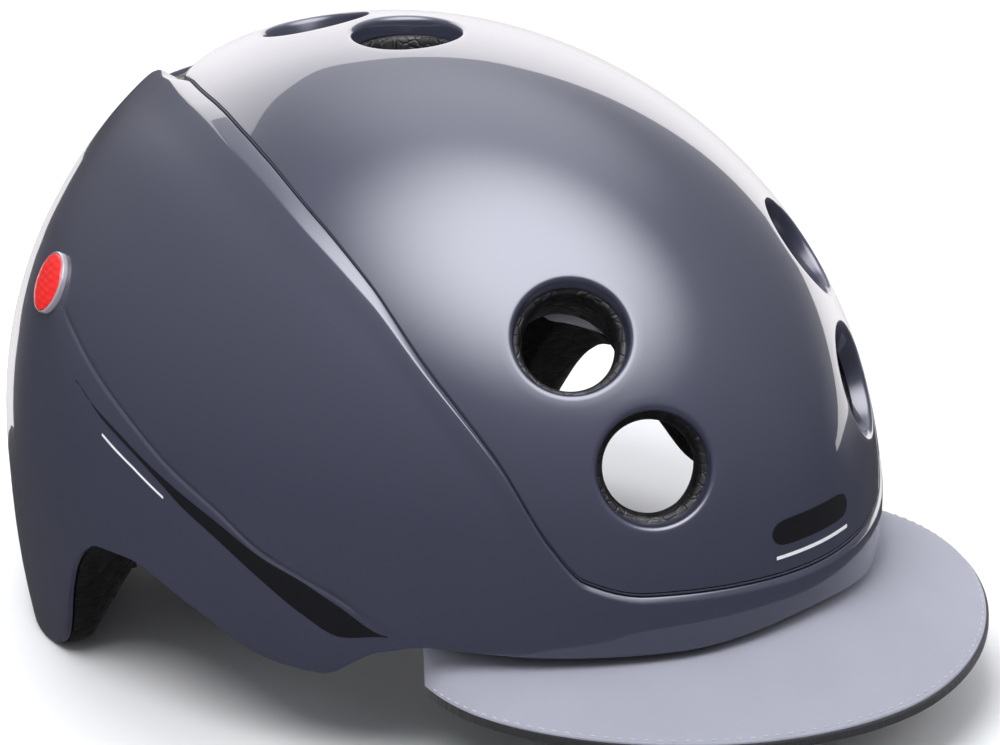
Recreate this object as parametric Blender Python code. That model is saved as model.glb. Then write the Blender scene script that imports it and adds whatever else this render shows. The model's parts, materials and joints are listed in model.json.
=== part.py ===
"""Urban cycling helmet: two-piece hard shell over a foam liner, soft peak, reflectors,
comfort pads, dial-adjusted cradle, and a chin strap tucked into the bowl.

Metres, +Z up.  The wearer faces -Y, and +X is the wearer's left.
The origin is under the middle of the bounding box, on the plane the tail stands on.
Directions on the helmet are an azimuth (0 at the front, 180 at the back) and a polar
angle from straight up, both in degrees, seen from the dome's centre.
"""
from math import atan2, cos, degrees, hypot, pi, radians, sin

import bmesh
import bpy
from mathutils import Matrix, Vector

# ---------------------------------------------------------------- driving dimensions

TAIL_DEPTH = 0.0485
DOME_CENTRE = Vector((0.0, 0.0270, TAIL_DEPTH))

# outer surface: half width, reach to the front and to the back, height and depth
OUTER = {"side": 0.1058, "front": 0.1467, "back": 0.1269, "up": 0.1205, "down": 0.0847}
OUTER_POWERS = {"plan": 1.924, "up": 2.096, "down": 2.32}
# head cavity: its walls run almost straight down
CAVITY = {"side": 0.082, "front": 0.112, "back": 0.097, "up": 0.093, "down": 0.150}
CAVITY_POWERS = {"plan": 2.05, "up": 2.1, "down": 2.3}

SHELL = 0.0015            # shell thickness
GAP = 0.0003              # clearance between touching pieces
LAP = 0.0006              # how far the lower shell stands proud of the dome everywhere

# edge of the dome shell: azimuth and polar angle
DOME_EDGE = [(0, 89.2), (20, 88.6), (26.5, 86.5), (30, 82), (35, 72), (40.5, 63.5), (47, 55),
             (59, 43.5), (80, 33.5), (105, 29.5), (144, 30.5), (180, 27.5)]
# top edge of the lower shell past the corner, where the exhaust opening starts
HOOD_EDGE = [(146, 32.5), (154, 37.5), (162, 40.5), (180, 42)]
# how far the lower shell's top edge flares out from the dome
FLARE = [(0, 0.0), (30, 0.0001), (60, 0.0006), (100, 0.0018), (144, 0.0040), (150, 0.0042),
         (160, 0.0010), (180, 0.0004)]
FLARE_REACH = 24.0        # degrees over which the flare fades
# how far the tail's foot sweeps outwards, growing with the square of the angle below a level
SWEEP = [(98, 0.0), (116, 0.0072), (130, 0.0110), (180, 0.0110)]
SWEEP_START = 92.0        # polar angle where it begins
SWEEP_SPAN = 24.0         # degrees further down where it is whole
SWEEP_STEPS = 12
# lower rim: azimuth and height over the dome's centre
RIM = [(0, -0.010), (16, -0.0135), (30, -0.013), (44, -0.0112), (51, -0.0145), (59, -0.0230),
       (66, -0.0220), (79, -0.0115), (92, -0.0030), (99, -0.0036), (103, -0.0076),
       (106, -0.0130), (109, -0.0215), (113, -0.0350), (116, -0.0425), (120, -0.0470),
       (125, -TAIL_DEPTH), (158, -TAIL_DEPTH), (162, -0.0470), (168, -0.0290),
       (174, -0.0190), (180, -0.0175)]

# azimuths of the mesh columns on one half, close together where the edges turn
COLUMNS = [0, 10, 18, 24, 27, 30, 33, 37, 42, 47, 53, 59, 66, 74, 83, 92, 98, 102, 105, 109,
           113, 117, 121, 125, 133, 142, 150, 158, 162, 165, 168, 172, 180]
DOME_ROWS = (0.16, 0.34, 0.52, 0.70, 0.86, 1.0)
LOWER_ROWS = (0.0, 0.16, 0.38, 0.62, 0.84, 1.0)

# ventilation holes: centre on the dome, mirrored where it is off the middle
VENT_MOUTH = 0.0152       # liner radius at the surface
VENT_SHELL = 0.0138       # shell radius
VENT_THROAT = 0.0120
VENT_THROAT_DEPTH = 0.014
VENT_EXIT = 0.0180
VENT_LENGTH = 0.045
UPPER_VENT = Vector((0.0460, -0.1040, 0.0680))
LOWER_VENT = Vector((0.0410, -0.1270, 0.0360))
LOWER_VENT_AXIS = Vector((0.60, -0.735, 0.315))
CROWN_VENTS = (Vector((0.0, -0.003, 0.1205)), Vector((0.0, 0.0330, 0.1160)))

# exhaust ports under the hood
PORT_SIZE = (0.015, 0.013, 0.060)
PORT_SPACING = 0.020
PORT_CENTRE = Vector((0.0, 0.069, 0.090))
PORT_TILT = radians(-30)

# soft peak: plan outline and height
PEAK_HALF_WIDTH = 0.0858
PEAK_CENTRE_Y = -0.1050
PEAK_REACH = 0.0765
PEAK_POWER = 1.86
PEAK_TIP_Z = -0.0277
PEAK_SIDE_Z = -0.0235
PEAK_SWEEP = radians(110)
PEAK_THICKNESS = 0.0030
PEAK_TUCK = 0.014         # how far the peak runs in under the rim
STUD_AZIMUTHS = {"center": 0.0, "left": 34.0, "right": -34.0}
STUD_RADIUS = 0.0040
STUD_HEIGHT = 0.0075

# reflectors
REFLECTOR_DIRECTION = (123.4, 60.0)
REFLECTOR_RADIUS = 0.0080
REFLECTOR_DEPTH = 0.0012
BEZEL_WIDTH = 0.0009

PAD = 0.007               # pad thickness
PAD_INSET = 0.0014        # from the cavity's true surface, past the facets of its mesh
SIDE_PAD_TOP = [(67, 0.028), (88, 0.028), (106, 0.014)]
SIDE_PAD_FOOT = [(67, -0.006), (78, -0.001), (90, 0.009), (106, 0.0095)]
WEB_WIDTH = 0.018
WEB = 0.0015              # webbing thickness
STRAP_INSET = 0.0006

# chin strap, tucked into the bowl: it crosses under the crown in one upright plane
ARCH_Y = -0.052
ARCH_RADIUS = 0.080
LEG_FOOT = 86.0           # degrees down from the crown, where a front leg starts
DIVIDER_ANGLE = 56.0
STRAP_GAP = 2.3           # degrees between a divider and the chin strap
BUCKLE_HALF = 20.4       # degrees of the arch that half the buckle takes
REAR_LEG = [(0.070, 0.049, 0.004), (0.072, 0.036, 0.030), (0.074, 0.004, 0.043),
            (0.071, -0.034, 0.044)]
ANCHOR_SIZE = (0.022, 0.009, 0.0035)
DIVIDER_SIZE = (0.023, 0.025, 0.0040)
LEVER_SIZE = (0.019, 0.016, 0.0018)
LEVER_BARREL = 0.0016

# side-slide magnetic buckle: profiles along the strap and away from the foam
BUCKLE_WIDTH = 0.020
BUCKLE_STANDOFF = 0.0098
BUCKLE_SOCKET = [(-0.024, 0.0), (0.008, 0.0), (0.008, 0.0022), (-0.003, 0.0022),
                 (-0.003, 0.006), (-0.024, 0.006)]
BUCKLE_TONGUE = [(0.0084, 0.0), (0.024, 0.0), (0.024, 0.006), (-0.0026, 0.006),
                 (-0.0026, 0.0026), (0.0084, 0.0026)]
MAGNET_RADIUS = 0.0035
MAGNET_THICKNESS = 0.0012

# retention cradle: heights over the dome's centre, and distances behind it
DIAL_Z = -0.0325
DIAL_RADIUS = 0.0125
DIAL_FLUTES = 18
PINION_RADIUS = 0.0046
ARM_Y = 0.0792            # middle of the arms' straight part
ARM_THICKNESS = 0.0018
ARM_HEIGHT = 0.0080
ARM_PATH = [(0.036, ARM_Y), (0.046, 0.0735), (0.056, 0.0640), (0.064, 0.0540), (0.0700, 0.0425)]
ARM_TIP_Z = -0.0245
YOKE_FACES = (0.0757, 0.0779)
COVER_FACES = (0.0805, 0.0834)
DETENT_FACES = (0.0837, 0.0855)
KNOB_FACES = (0.0858, 0.0945)
HANGER_WIDTH = 0.0160
HANGER_Y = 0.0849
HANGER_THICKNESS = 0.0018
HANGER_TOP = 0.030


# ---------------------------------------------------------------- curves and surfaces

def smooth(points, x):
    """Value at x of a smooth curve through points that never overshoots between them."""
    x = min(max(x, points[0][0]), points[-1][0])
    last = len(points) - 2
    i = min(max(k for k in range(last + 1) if points[k][0] <= x), last)
    slopes = [(points[k + 1][1] - points[k][1]) / (points[k + 1][0] - points[k][0])
              for k in range(last + 1)]

    def tangent(k):
        if k in (0, last + 1) or slopes[k - 1] * slopes[k] <= 0:
            return 0.0
        return 2 * slopes[k - 1] * slopes[k] / (slopes[k - 1] + slopes[k])

    (x0, y0), (x1, y1) = points[i], points[i + 1]
    w = x1 - x0
    t = (x - x0) / w
    return (y0 * (1 + 2 * t) * (1 - t) ** 2 + y1 * t * t * (3 - 2 * t)
            + w * tangent(i) * t * (1 - t) ** 2 - w * tangent(i + 1) * t * t * (1 - t))


def direction(azimuth, polar):
    a = radians(azimuth)
    p = radians(polar)
    return Vector((sin(a) * sin(p), -cos(a) * sin(p), cos(p)))


def radius(d, axes, powers):
    """Distance from the centre to a superellipsoid along the unit vector d."""
    y_axis = axes["front"] if d.y < 0 else axes["back"]
    plan = (abs(d.x) / axes["side"]) ** powers["plan"] + (abs(d.y) / y_axis) ** powers["plan"]
    half = "up" if d.z > 0 else "down"
    n = powers[half]
    return (plan ** (n / powers["plan"]) + (abs(d.z) / axes[half]) ** n) ** (-1 / n)


def outer(azimuth, polar, lift=0.0):
    d = direction(azimuth, polar)
    return DOME_CENTRE + d * (radius(d, OUTER, OUTER_POWERS) + lift)


def cavity(azimuth, polar, inset=0.0):
    d = direction(azimuth, polar)
    return DOME_CENTRE + d * (radius(d, CAVITY, CAVITY_POWERS) - inset)


def polar_at_height(azimuth, height, axes, powers):
    """Polar angle at which the surface is at this height over the centre."""
    half = "up" if height > 0 else "down"
    n = powers[half]
    level = (1 - (abs(height) / axes[half]) ** n) ** (1 / n)
    a = radians(azimuth)
    y_axis = axes["front"] if cos(a) > 0 else axes["back"]
    plan = (abs(sin(a)) / axes["side"]) ** powers["plan"]
    plan += (abs(cos(a)) / y_axis) ** powers["plan"]
    return degrees(atan2(level * plan ** (-1 / powers["plan"]), height))


def dome_edge(azimuth):
    return smooth(DOME_EDGE, abs(azimuth))


def lower_edge(azimuth):
    """Top edge of the lower shell: a groove past the dome's, then the exhaust opening."""
    a = abs(azimuth)
    groove = smooth([(0, 0.25), (60, 0.35), (110, 1.0), (146, 1.6)], a)
    if a <= 146:
        return dome_edge(a) + groove
    start = dome_edge(146) + groove
    return start + smooth(HOOD_EDGE, a) - HOOD_EDGE[0][1]


def sweep(azimuth, polar):
    below = max(0.0, (polar - SWEEP_START) / SWEEP_SPAN)
    return smooth(SWEEP, abs(azimuth)) * below * below


def rim_polar(azimuth):
    """Polar angle of the lower rim, found in steps because the sweep also lowers the rim."""
    a = abs(azimuth)
    polar = polar_at_height(a, smooth(RIM, a), OUTER, OUTER_POWERS)
    for _ in range(SWEEP_STEPS):
        dropped = sweep(a, polar) * cos(radians(polar))
        polar = polar_at_height(a, smooth(RIM, a) - dropped, OUTER, OUTER_POWERS)
    return polar


def flare(azimuth, polar):
    """How far the lower shell stands off the dome's surface."""
    top = lower_edge(azimuth)
    reach = min(FLARE_REACH, 0.8 * (rim_polar(azimuth) - top))
    fade = max(0.0, 1 - (polar - top) / reach)
    return LAP + smooth(FLARE, abs(azimuth)) * fade * fade + sweep(azimuth, polar)


def columns():
    right = [-a for a in COLUMNS[1:-1]]
    return COLUMNS + right[::-1]


def dome_polar(azimuth, row):
    return dome_edge(azimuth) * row


def lower_polar(azimuth, row):
    top = lower_edge(azimuth)
    return top + (rim_polar(azimuth) - top) * row


# ---------------------------------------------------------------- mesh helpers

def clear_scene():
    for old in list(bpy.data.objects):
        bpy.data.objects.remove(old, do_unlink=True)


def material(name, colour, roughness, metallic=0.0):
    made = bpy.data.materials.new(name)
    made.use_nodes = True
    shader = made.node_tree.nodes["Principled BSDF"]
    shader.inputs["Base Color"].default_value = (*colour, 1.0)
    shader.inputs["Roughness"].default_value = roughness
    shader.inputs["Metallic"].default_value = metallic
    return made


def add_object(name, mesh_data, finish, origin=None):
    """Make an object from vertices and faces given in world coordinates."""
    vertices, faces = mesh_data
    origin = Vector(origin) if origin is not None else Vector((0, 0, 0))
    mesh = bpy.data.meshes.new(name)
    mesh.from_pydata([tuple(Vector(v) - origin) for v in vertices], [], faces)
    mesh.materials.append(MATERIALS[finish])
    bm = bmesh.new()
    bm.from_mesh(mesh)
    bmesh.ops.recalc_face_normals(bm, faces=bm.faces)
    bm.to_mesh(mesh)
    bm.free()
    mesh.shade_smooth()
    mesh.set_sharp_from_angle(angle=radians(35))
    made = bpy.data.objects.new(name, mesh)
    made.location = origin
    bpy.context.scene.collection.objects.link(made)
    return made


def ring_faces(first, second, count, flip=False):
    """Triangles between two closed rings of vertices that start at these indices.

    Flip swaps the diagonals, so that two layers built in opposite order stay parallel.
    """
    faces = []
    for i in range(count):
        a = first + i
        b = first + (i + 1) % count
        c = second + (i + 1) % count
        d = second + i
        faces += [(a, b, d), (b, c, d)] if flip else [(a, b, c), (a, c, d)]
    return faces


def rings_solid(rings):
    """Solid of rings joined in a closed loop, as in a tube bent round to its start."""
    count = len(rings[0])
    vertices = [v for ring in rings for v in ring]
    faces = []
    for k in range(len(rings)):
        following = (k + 1) % len(rings)
        faces += ring_faces(k * count, following * count, count, flip=2 * k >= len(rings))
    return vertices, faces


def lathe_solid(rings):
    """Solid of rings stacked from one end to the other, closed by a flat face at each."""
    count = len(rings[0])
    vertices = [v for ring in rings for v in ring]
    faces = []
    for k in range(len(rings) - 1):
        faces += ring_faces(k * count, (k + 1) * count, count)
    faces.append(tuple(range(count)))
    faces.append(tuple(reversed(range(len(vertices) - count, len(vertices)))))
    return vertices, faces


def capped_solid(outer_rings, inner_rings, outer_pole, inner_pole):
    """Bowl with a pole on each side; the rings run from the pole to the shared rim."""
    count = len(outer_rings[0])
    rings = outer_rings + inner_rings[::-1]
    vertices = [v for ring in rings for v in ring]
    faces = []
    for k in range(len(rings) - 1):
        faces += ring_faces(k * count, (k + 1) * count, count, flip=k >= len(outer_rings))
    vertices += [outer_pole, inner_pole]
    top = len(vertices) - 2
    last = (len(rings) - 1) * count
    faces += [(top, i, (i + 1) % count) for i in range(count)]
    faces += [(top + 1, last + i, last + (i + 1) % count) for i in range(count)]
    return vertices, faces


def sweep_solid(sections):
    """Solid of equal cross-sections along a path, capped at both ends."""
    return lathe_solid(sections)


def turned_rings(profile, centre, axis, sides):
    axis = Vector(axis).normalized()
    across = axis.orthogonal().normalized()
    other = axis.cross(across)
    rings = []
    for along, r in profile:
        ring = []
        for i in range(sides):
            a = 2 * pi * i / sides
            ring.append(Vector(centre) + axis * along + (across * cos(a) + other * sin(a)) * r)
        rings.append(ring)
    return rings


def turned(profile, centre, axis, sides=24):
    """Solid turned round an axis; profile is a list of (distance along it, radius)."""
    return lathe_solid(turned_rings(profile, centre, axis, sides))


def turned_ring(profile, centre, axis, sides=24):
    """Closed ring turned round an axis; profile is a closed outline of (along, radius)."""
    return rings_solid(turned_rings(profile, centre, axis, sides))


def block(centre, size, turn, chamfer):
    """Box with its four upright edges cut off, turned by a matrix."""
    hx, hy, hz = (s / 2 for s in size)
    c = chamfer
    outline = [(hx - c, -hy), (hx, -hy + c), (hx, hy - c), (hx - c, hy),
               (-hx + c, hy), (-hx, hy - c), (-hx, -hy + c), (-hx + c, -hy)]
    rings = [[Vector(centre) + turn @ Vector((x, y, z)) for x, y in outline]
             for z in (-hz, hz)]
    return lathe_solid(rings)


def cut(target, mesh_data, name):
    """Cut a closed shape out of an object with an exact Boolean."""
    cutter = add_object(name, mesh_data, "foam")
    cutter.hide_render = True
    cutter.display_type = "WIRE"
    boolean = target.modifiers.new(name, "BOOLEAN")
    boolean.operation = "DIFFERENCE"
    boolean.solver = "EXACT"
    boolean.object = cutter


# ---------------------------------------------------------------- shells and liner

def mirrored(v):
    return Vector((-v.x, v.y, v.z))


def surface_normal(v, axes=None):
    """Outward normal at a point of the outer surface, or of another, from the dome's centre."""
    axes = axes or OUTER
    y_axis = axes["front"] if v.y < 0 else axes["back"]
    z_axis = axes["up"] if v.z > 0 else axes["down"]
    return Vector((v.x / axes["side"] ** 2, v.y / y_axis ** 2, v.z / z_axis ** 2)).normalized()


def vents():
    """Centre and outward axis of every ventilation hole, from the dome's centre."""
    found = []
    for centre, axis in ((UPPER_VENT, surface_normal(UPPER_VENT)),
                         (LOWER_VENT, LOWER_VENT_AXIS.normalized())):
        found.append((centre, axis))
        found.append((mirrored(centre), mirrored(axis)))
    for centre in CROWN_VENTS:
        found.append((centre, surface_normal(centre)))
    return found


def build_dome_shell():
    def surface_rings(lift):
        return [[outer(a, dome_polar(a, row), lift) for a in columns()] for row in DOME_ROWS]

    data = capped_solid(surface_rings(0.0), surface_rings(-SHELL), outer(0, 0), outer(0, 0, -SHELL))
    dome = add_object("dome_shell", data, "gloss_shell")
    for n, (centre, axis) in enumerate(vents()):
        hole = turned([(-0.012, VENT_SHELL), (0.012, VENT_SHELL)], DOME_CENTRE + centre, axis)
        cut(dome, hole, f"shell_hole_{n}")
    return dome


def lower_ring(row, lift):
    return [outer(a, lower_polar(a, row), flare(a, lower_polar(a, row)) + lift)
            for a in columns()]


def level(ring, above):
    """Set a rim ring's heights, so that the tail's foot is flat."""
    for a, v in zip(columns(), ring):
        v.z = DOME_CENTRE.z + smooth(RIM, abs(a)) + above


def build_lower_shell():
    outside = [lower_ring(row, 0.0) for row in LOWER_ROWS]
    inside = [lower_ring(row, -SHELL) for row in LOWER_ROWS]
    level(outside[-1], GAP)
    level(inside[-1], GAP)
    return add_object("lower_shell", rings_solid(outside + inside[::-1]), "gloss_shell")


def liner_foot(azimuth):
    """Polar angle of the cavity's lower edge; over the ear the foam is bevelled upwards."""
    a = abs(azimuth)
    bevel = smooth([(78, 0.0), (92, 0.010), (108, 0.015), (117, 0.012), (126, 0.0)], a)
    return polar_at_height(a, smooth(RIM, a) + bevel, CAVITY, CAVITY_POWERS)


def build_liner():
    under_dome = -SHELL - GAP
    outside = [[outer(a, dome_polar(a, row), under_dome) for a in columns()] for row in DOME_ROWS]
    outside += [lower_ring(row, under_dome) for row in LOWER_ROWS]
    level(outside[-1], 0.0)
    steps = len(outside)
    inside = []
    for k in range(steps):
        share = (k + 1) / steps
        inside.append([cavity(a, liner_foot(a) * share) for a in columns()])
    data = capped_solid(outside, inside, outer(0, 0, under_dome), cavity(0, 0))
    liner = add_object("foam_liner", data, "foam")
    profile = [(-VENT_LENGTH, VENT_EXIT), (-VENT_THROAT_DEPTH, VENT_THROAT),
               (-0.005, 0.0142), (0.0, VENT_MOUTH), (0.008, VENT_MOUTH)]
    for n, (centre, axis) in enumerate(vents()):
        cut(liner, turned(profile, DOME_CENTRE + centre, axis, sides=20), f"liner_hole_{n}")
    tilt = Matrix.Rotation(PORT_TILT, 3, "X")
    for n in (-1, 0, 1):
        middle = DOME_CENTRE + PORT_CENTRE + Vector((n * PORT_SPACING, 0, 0))
        cut(liner, block(middle, PORT_SIZE, tilt, 0.004), f"exhaust_port_{n + 1}")
    for side, azimuth in STUD_AZIMUTHS.items():
        seat = stud_seat(azimuth)
        pocket = [(-0.004, STUD_RADIUS + 2 * GAP), (STUD_HEIGHT + 0.001, STUD_RADIUS + 2 * GAP)]
        cut(liner, turned(pocket, seat, (0, 0, 1), sides=12), f"stud_pocket_{side}")
    return liner


# ---------------------------------------------------------------- peak

def stud_seat(azimuth):
    """Point on the peak's top face under a stud."""
    polar = rim_polar(azimuth)
    edge = outer(azimuth, polar)
    inward = Vector((-edge.x + DOME_CENTRE.x, -edge.y + DOME_CENTRE.y, 0)).normalized()
    seat = edge + inward * 0.0088
    seat.z = DOME_CENTRE.z + smooth(RIM, abs(azimuth)) - 0.0011
    return seat


def peak_outline(angle):
    """Edge of the peak, from the dome's centre; angle is 0 at its tip."""
    s = sin(angle)
    c = cos(angle)
    x = PEAK_HALF_WIDTH * (abs(s) ** (2 / PEAK_POWER)) * (1 if s > 0 else -1)
    y = PEAK_CENTRE_Y - PEAK_REACH * (abs(c) ** (2 / PEAK_POWER)) * (1 if c > 0 else -1)
    side = (x / PEAK_HALF_WIDTH) ** 2
    return Vector((x, y, PEAK_TIP_Z + (PEAK_SIDE_Z - PEAK_TIP_Z) * side))


def build_peak():
    count = 26
    rows = (0.0, 0.34, 0.68, 1.0)
    sections = []
    for i in range(count + 1):
        angle = PEAK_SWEEP * (2 * i / count - 1)
        edge = peak_outline(angle)
        azimuth = degrees(atan2(edge.x, -edge.y))
        rim = outer(azimuth, rim_polar(azimuth)) - DOME_CENTRE
        flat = Vector((rim.x, rim.y, 0))
        root = rim - flat.normalized() * PEAK_TUCK
        root.z = smooth(RIM, abs(azimuth)) - 0.0012
        upper = []
        for t in rows:
            p = root.lerp(edge, t)
            p.z += 0.0035 * sin(pi * t) * max(0.0, cos(angle))
            upper.append(DOME_CENTRE + p)
        lower = [p - Vector((0, 0, PEAK_THICKNESS)) for p in upper]
        sections.append(upper + lower[::-1])
    add_object("peak", sweep_solid(sections), "peak_fabric")
    profile = [(GAP, STUD_RADIUS), (0.0022, STUD_RADIUS), (0.0030, 0.0032),
               (0.0055, 0.0032), (0.0063, STUD_RADIUS), (STUD_HEIGHT, 0.0034)]
    for side, azimuth in STUD_AZIMUTHS.items():
        seat = stud_seat(azimuth)
        add_object(f"peak_stud_{side}", turned(profile, seat, (0, 0, 1), sides=12),
                   "black_plastic", seat)


# ---------------------------------------------------------------- reflectors

def build_reflectors():
    for side, sign in (("left", 1), ("right", -1)):
        azimuth, polar = REFLECTOR_DIRECTION
        azimuth *= sign
        seat = outer(azimuth, polar, flare(azimuth, polar))
        normal = surface_normal(seat - DOME_CENTRE)
        seat = seat + normal * 0.0006
        disc = [(0.0, REFLECTOR_RADIUS), (REFLECTOR_DEPTH, REFLECTOR_RADIUS),
                (REFLECTOR_DEPTH + 0.0005, REFLECTOR_RADIUS - 0.0015)]
        add_object(f"reflector_{side}", turned(disc, seat, normal), "reflector", seat)
        inside = REFLECTOR_RADIUS + GAP
        outside = inside + BEZEL_WIDTH
        ring = [(0.0, inside), (0.0, outside), (REFLECTOR_DEPTH * 0.8, outside),
                (REFLECTOR_DEPTH * 1.2, inside)]
        add_object(f"reflector_bezel_{side}", turned_ring(ring, seat, normal),
                   "bezel", seat)


# ---------------------------------------------------------------- pads

def pad_patch(azimuths, top, bottom, inset=PAD_INSET, thickness=PAD, rows=3):
    """Curved slab on the cavity wall; top and bottom give the polar angle at an azimuth."""
    sections = []
    for a in azimuths:
        polars = [top(a) + (bottom(a) - top(a)) * k / rows for k in range(rows + 1)]
        wall = [cavity(a, p, inset) for p in polars]
        face = [cavity(a, p, inset + thickness * (1.0 if 0 < k < rows else 0.75))
                for k, p in enumerate(polars)]
        sections.append(wall + face[::-1])
    return sweep_solid(sections)


def spread(first, last, count):
    return [first + (last - first) * i / (count - 1) for i in range(count)]


def height_polar(height):
    return lambda a: polar_at_height(a, height, CAVITY, CAVITY_POWERS)


def profile_polar(points):
    return lambda a: polar_at_height(a, smooth(points, abs(a)), CAVITY, CAVITY_POWERS)


def crown_patch(sign):
    """Pad under the crown, beside the crown vents, running front to back."""
    sections = []
    for y in spread(-0.034, 0.056, 9):
        wall = []
        face = []
        for x in spread(0.026, 0.050, 4):
            d = Vector((sign * x, y, 0.080)).normalized()
            r = radius(d, CAVITY, CAVITY_POWERS)
            end = 0.75 if x in (0.026, 0.050) else 1.0
            wall.append(DOME_CENTRE + d * (r - PAD_INSET))
            face.append(DOME_CENTRE + d * (r - PAD_INSET - PAD * end))
        sections.append(wall + face[::-1])
    return sweep_solid(sections)


def build_pads():
    brow = pad_patch(spread(-46, 46, 15), height_polar(0.008), height_polar(-0.009), thickness=0.008)
    add_object("brow_pad", brow, "pad_dark")
    for side, sign in (("left", 1), ("right", -1)):
        temple = pad_patch([sign * a for a in spread(67, 106, 8)],
                           profile_polar(SIDE_PAD_TOP), profile_polar(SIDE_PAD_FOOT))
        add_object(f"side_pad_{side}", temple, "pad_light")
        add_object(f"crown_pad_{side}", crown_patch(sign), "pad_dark")


# ---------------------------------------------------------------- straps

def wall(d, inset):
    """Point on the cavity wall in the direction d, moved towards the dome's centre."""
    d = Vector(d).normalized()
    return DOME_CENTRE + d * (radius(d, CAVITY, CAVITY_POWERS) - inset)


def arch_direction(angle):
    """Direction in the strap's upright plane; angle is measured from the crown."""
    a = radians(angle)
    return Vector((ARCH_RADIUS * sin(a), ARCH_Y, ARCH_RADIUS * cos(a)))


def wall_frame(d, ahead):
    """Axes on the cavity wall: across, along and inward, for a strap that runs ahead."""
    inward = -surface_normal(wall(d, 0) - DOME_CENTRE, CAVITY)
    along = Vector(ahead) - inward * Vector(ahead).dot(inward)
    along.normalize()
    return Matrix((along.cross(inward), along, inward)).transposed()


def webbing(directions, inset):
    """Flat webbing laid on the cavity wall through a run of directions."""
    centres = [wall(d, inset) for d in directions]
    sections = []
    for i, c in enumerate(centres):
        ahead = centres[min(i + 1, len(centres) - 1)] - centres[max(i - 1, 0)]
        inward = -surface_normal(c - DOME_CENTRE, CAVITY)
        across = ahead.cross(inward).normalized() * (WEB_WIDTH / 2)
        down = inward * WEB
        sections.append([c - across, c + across, c + across + down, c - across + down])
    return sweep_solid(sections)


def spline(points, count):
    """Evenly spread points on a Catmull-Rom curve through the given ones."""
    points = [Vector(p) for p in points]
    ends = [2 * points[0] - points[1]] + points + [2 * points[-1] - points[-2]]
    found = []
    for t in spread(0, len(points) - 1, count):
        k = min(int(t), len(points) - 2)
        u = t - k
        p0, p1, p2, p3 = ends[k:k + 4]
        found.append(0.5 * (2 * p1 + (p2 - p0) * u + (2 * p0 - 5 * p1 + 4 * p2 - p3) * u * u
                            + (3 * p1 - p0 - 3 * p2 + p3) * u ** 3))
    return found


def build_straps():
    inset = PAD_INSET + STRAP_INSET
    lift = BUCKLE_STANDOFF + 0.0022
    for side, sign in (("left", 1), ("right", -1)):
        flip = Vector((sign, 1, 1))
        foot = arch_direction(sign * LEG_FOOT)
        join = arch_direction(sign * DIVIDER_ANGLE)
        frame = wall_frame(foot, (0, 0, 1))
        add_object(f"front_anchor_{side}",
                   block(wall(foot, inset + 0.0018), ANCHOR_SIZE, frame, 0.002), "black_plastic")
        gap = degrees((ANCHOR_SIZE[1] / 2 + 8 * GAP) / ARCH_RADIUS)
        half = degrees((DIVIDER_SIZE[1] / 2 + 3 * GAP) / ARCH_RADIUS)
        leg = [arch_direction(sign * a)
               for a in spread(LEG_FOOT - gap, DIVIDER_ANGLE + half + STRAP_GAP, 4)]
        add_object(f"front_strap_{side}", webbing(leg, inset), "webbing")

        rear = [Vector(p) * flip for p in REAR_LEG]
        run = spline(rear, 13)
        frame = wall_frame(rear[0], rear[1] - rear[0])
        heel = wall(rear[0], inset + 0.0018) - frame.col[1] * (ANCHOR_SIZE[1] / 2 + 6 * GAP)
        heel += frame.col[2] * 0.0006
        add_object(f"rear_anchor_{side}", block(heel, ANCHOR_SIZE, frame, 0.002),
                   "black_plastic")
        add_object(f"rear_strap_{side}", webbing(run, inset), "webbing")

        frame = wall_frame(join, arch_direction(0) - join)
        seat = wall(join, inset + 0.0008 + DIVIDER_SIZE[2] / 2)
        add_object(f"divider_{side}", block(seat, DIVIDER_SIZE, frame, 0.003), "black_plastic")
        build_lever(side, seat, frame)

        chin = []
        for a in spread(DIVIDER_ANGLE - half - STRAP_GAP, BUCKLE_HALF, 7):
            chin.append((a, inset + (lift - inset) * ((DIVIDER_ANGLE - a) / 40) ** 2))
        add_object(f"chin_strap_{side}", chin_web(sign, chin), "webbing")
    build_buckle()


def chin_web(sign, run):
    """Webbing from a divider to the buckle; run pairs an arch angle with an inset."""
    sections = []
    for a, inset in run:
        c = wall(arch_direction(sign * a), inset)
        inward = (DOME_CENTRE + Vector((0, ARCH_Y * 0.9, 0)) - c).normalized()
        frame = buckle_frame()
        across = frame.col[1] * (WEB_WIDTH / 2)
        down = inward * WEB
        sections.append([c - across, c + across, c + across + down, c - across + down])
    return sweep_solid(sections)


def build_lever(side, seat, frame):
    """Cam lever on a divider's inner face, hinged along its upper edge."""
    width, length, thickness = LEVER_SIZE
    rise = DIVIDER_SIZE[2] / 2 + 2 * GAP + LEVER_BARREL
    pivot = seat + frame.col[2] * rise + frame.col[1] * (length / 2)
    outline = []
    steps = 6
    for i in range(steps + 1):
        a = pi / 2 - pi * i / steps
        outline.append((LEVER_BARREL * cos(a), LEVER_BARREL * sin(a)))
    outline += [(-length, -LEVER_BARREL), (-length, -LEVER_BARREL + thickness * 0.6),
                (-LEVER_BARREL, thickness - LEVER_BARREL)]
    rings = []
    for x in (-width / 2, width / 2):
        rings.append([pivot + frame.col[0] * x + frame.col[1] * along + frame.col[2] * up
                      for along, up in outline])
    add_object(f"divider_lever_{side}", lathe_solid(rings), "black_plastic", pivot)


def buckle_frame():
    """Axes of the buckle: along the strap, forwards across it, and away from the foam."""
    here = wall(arch_direction(0), 0)
    inward = (DOME_CENTRE - here).normalized()
    return Matrix((Vector((1, 0, 0)), inward.cross(Vector((1, 0, 0))), inward)).transposed()


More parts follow.
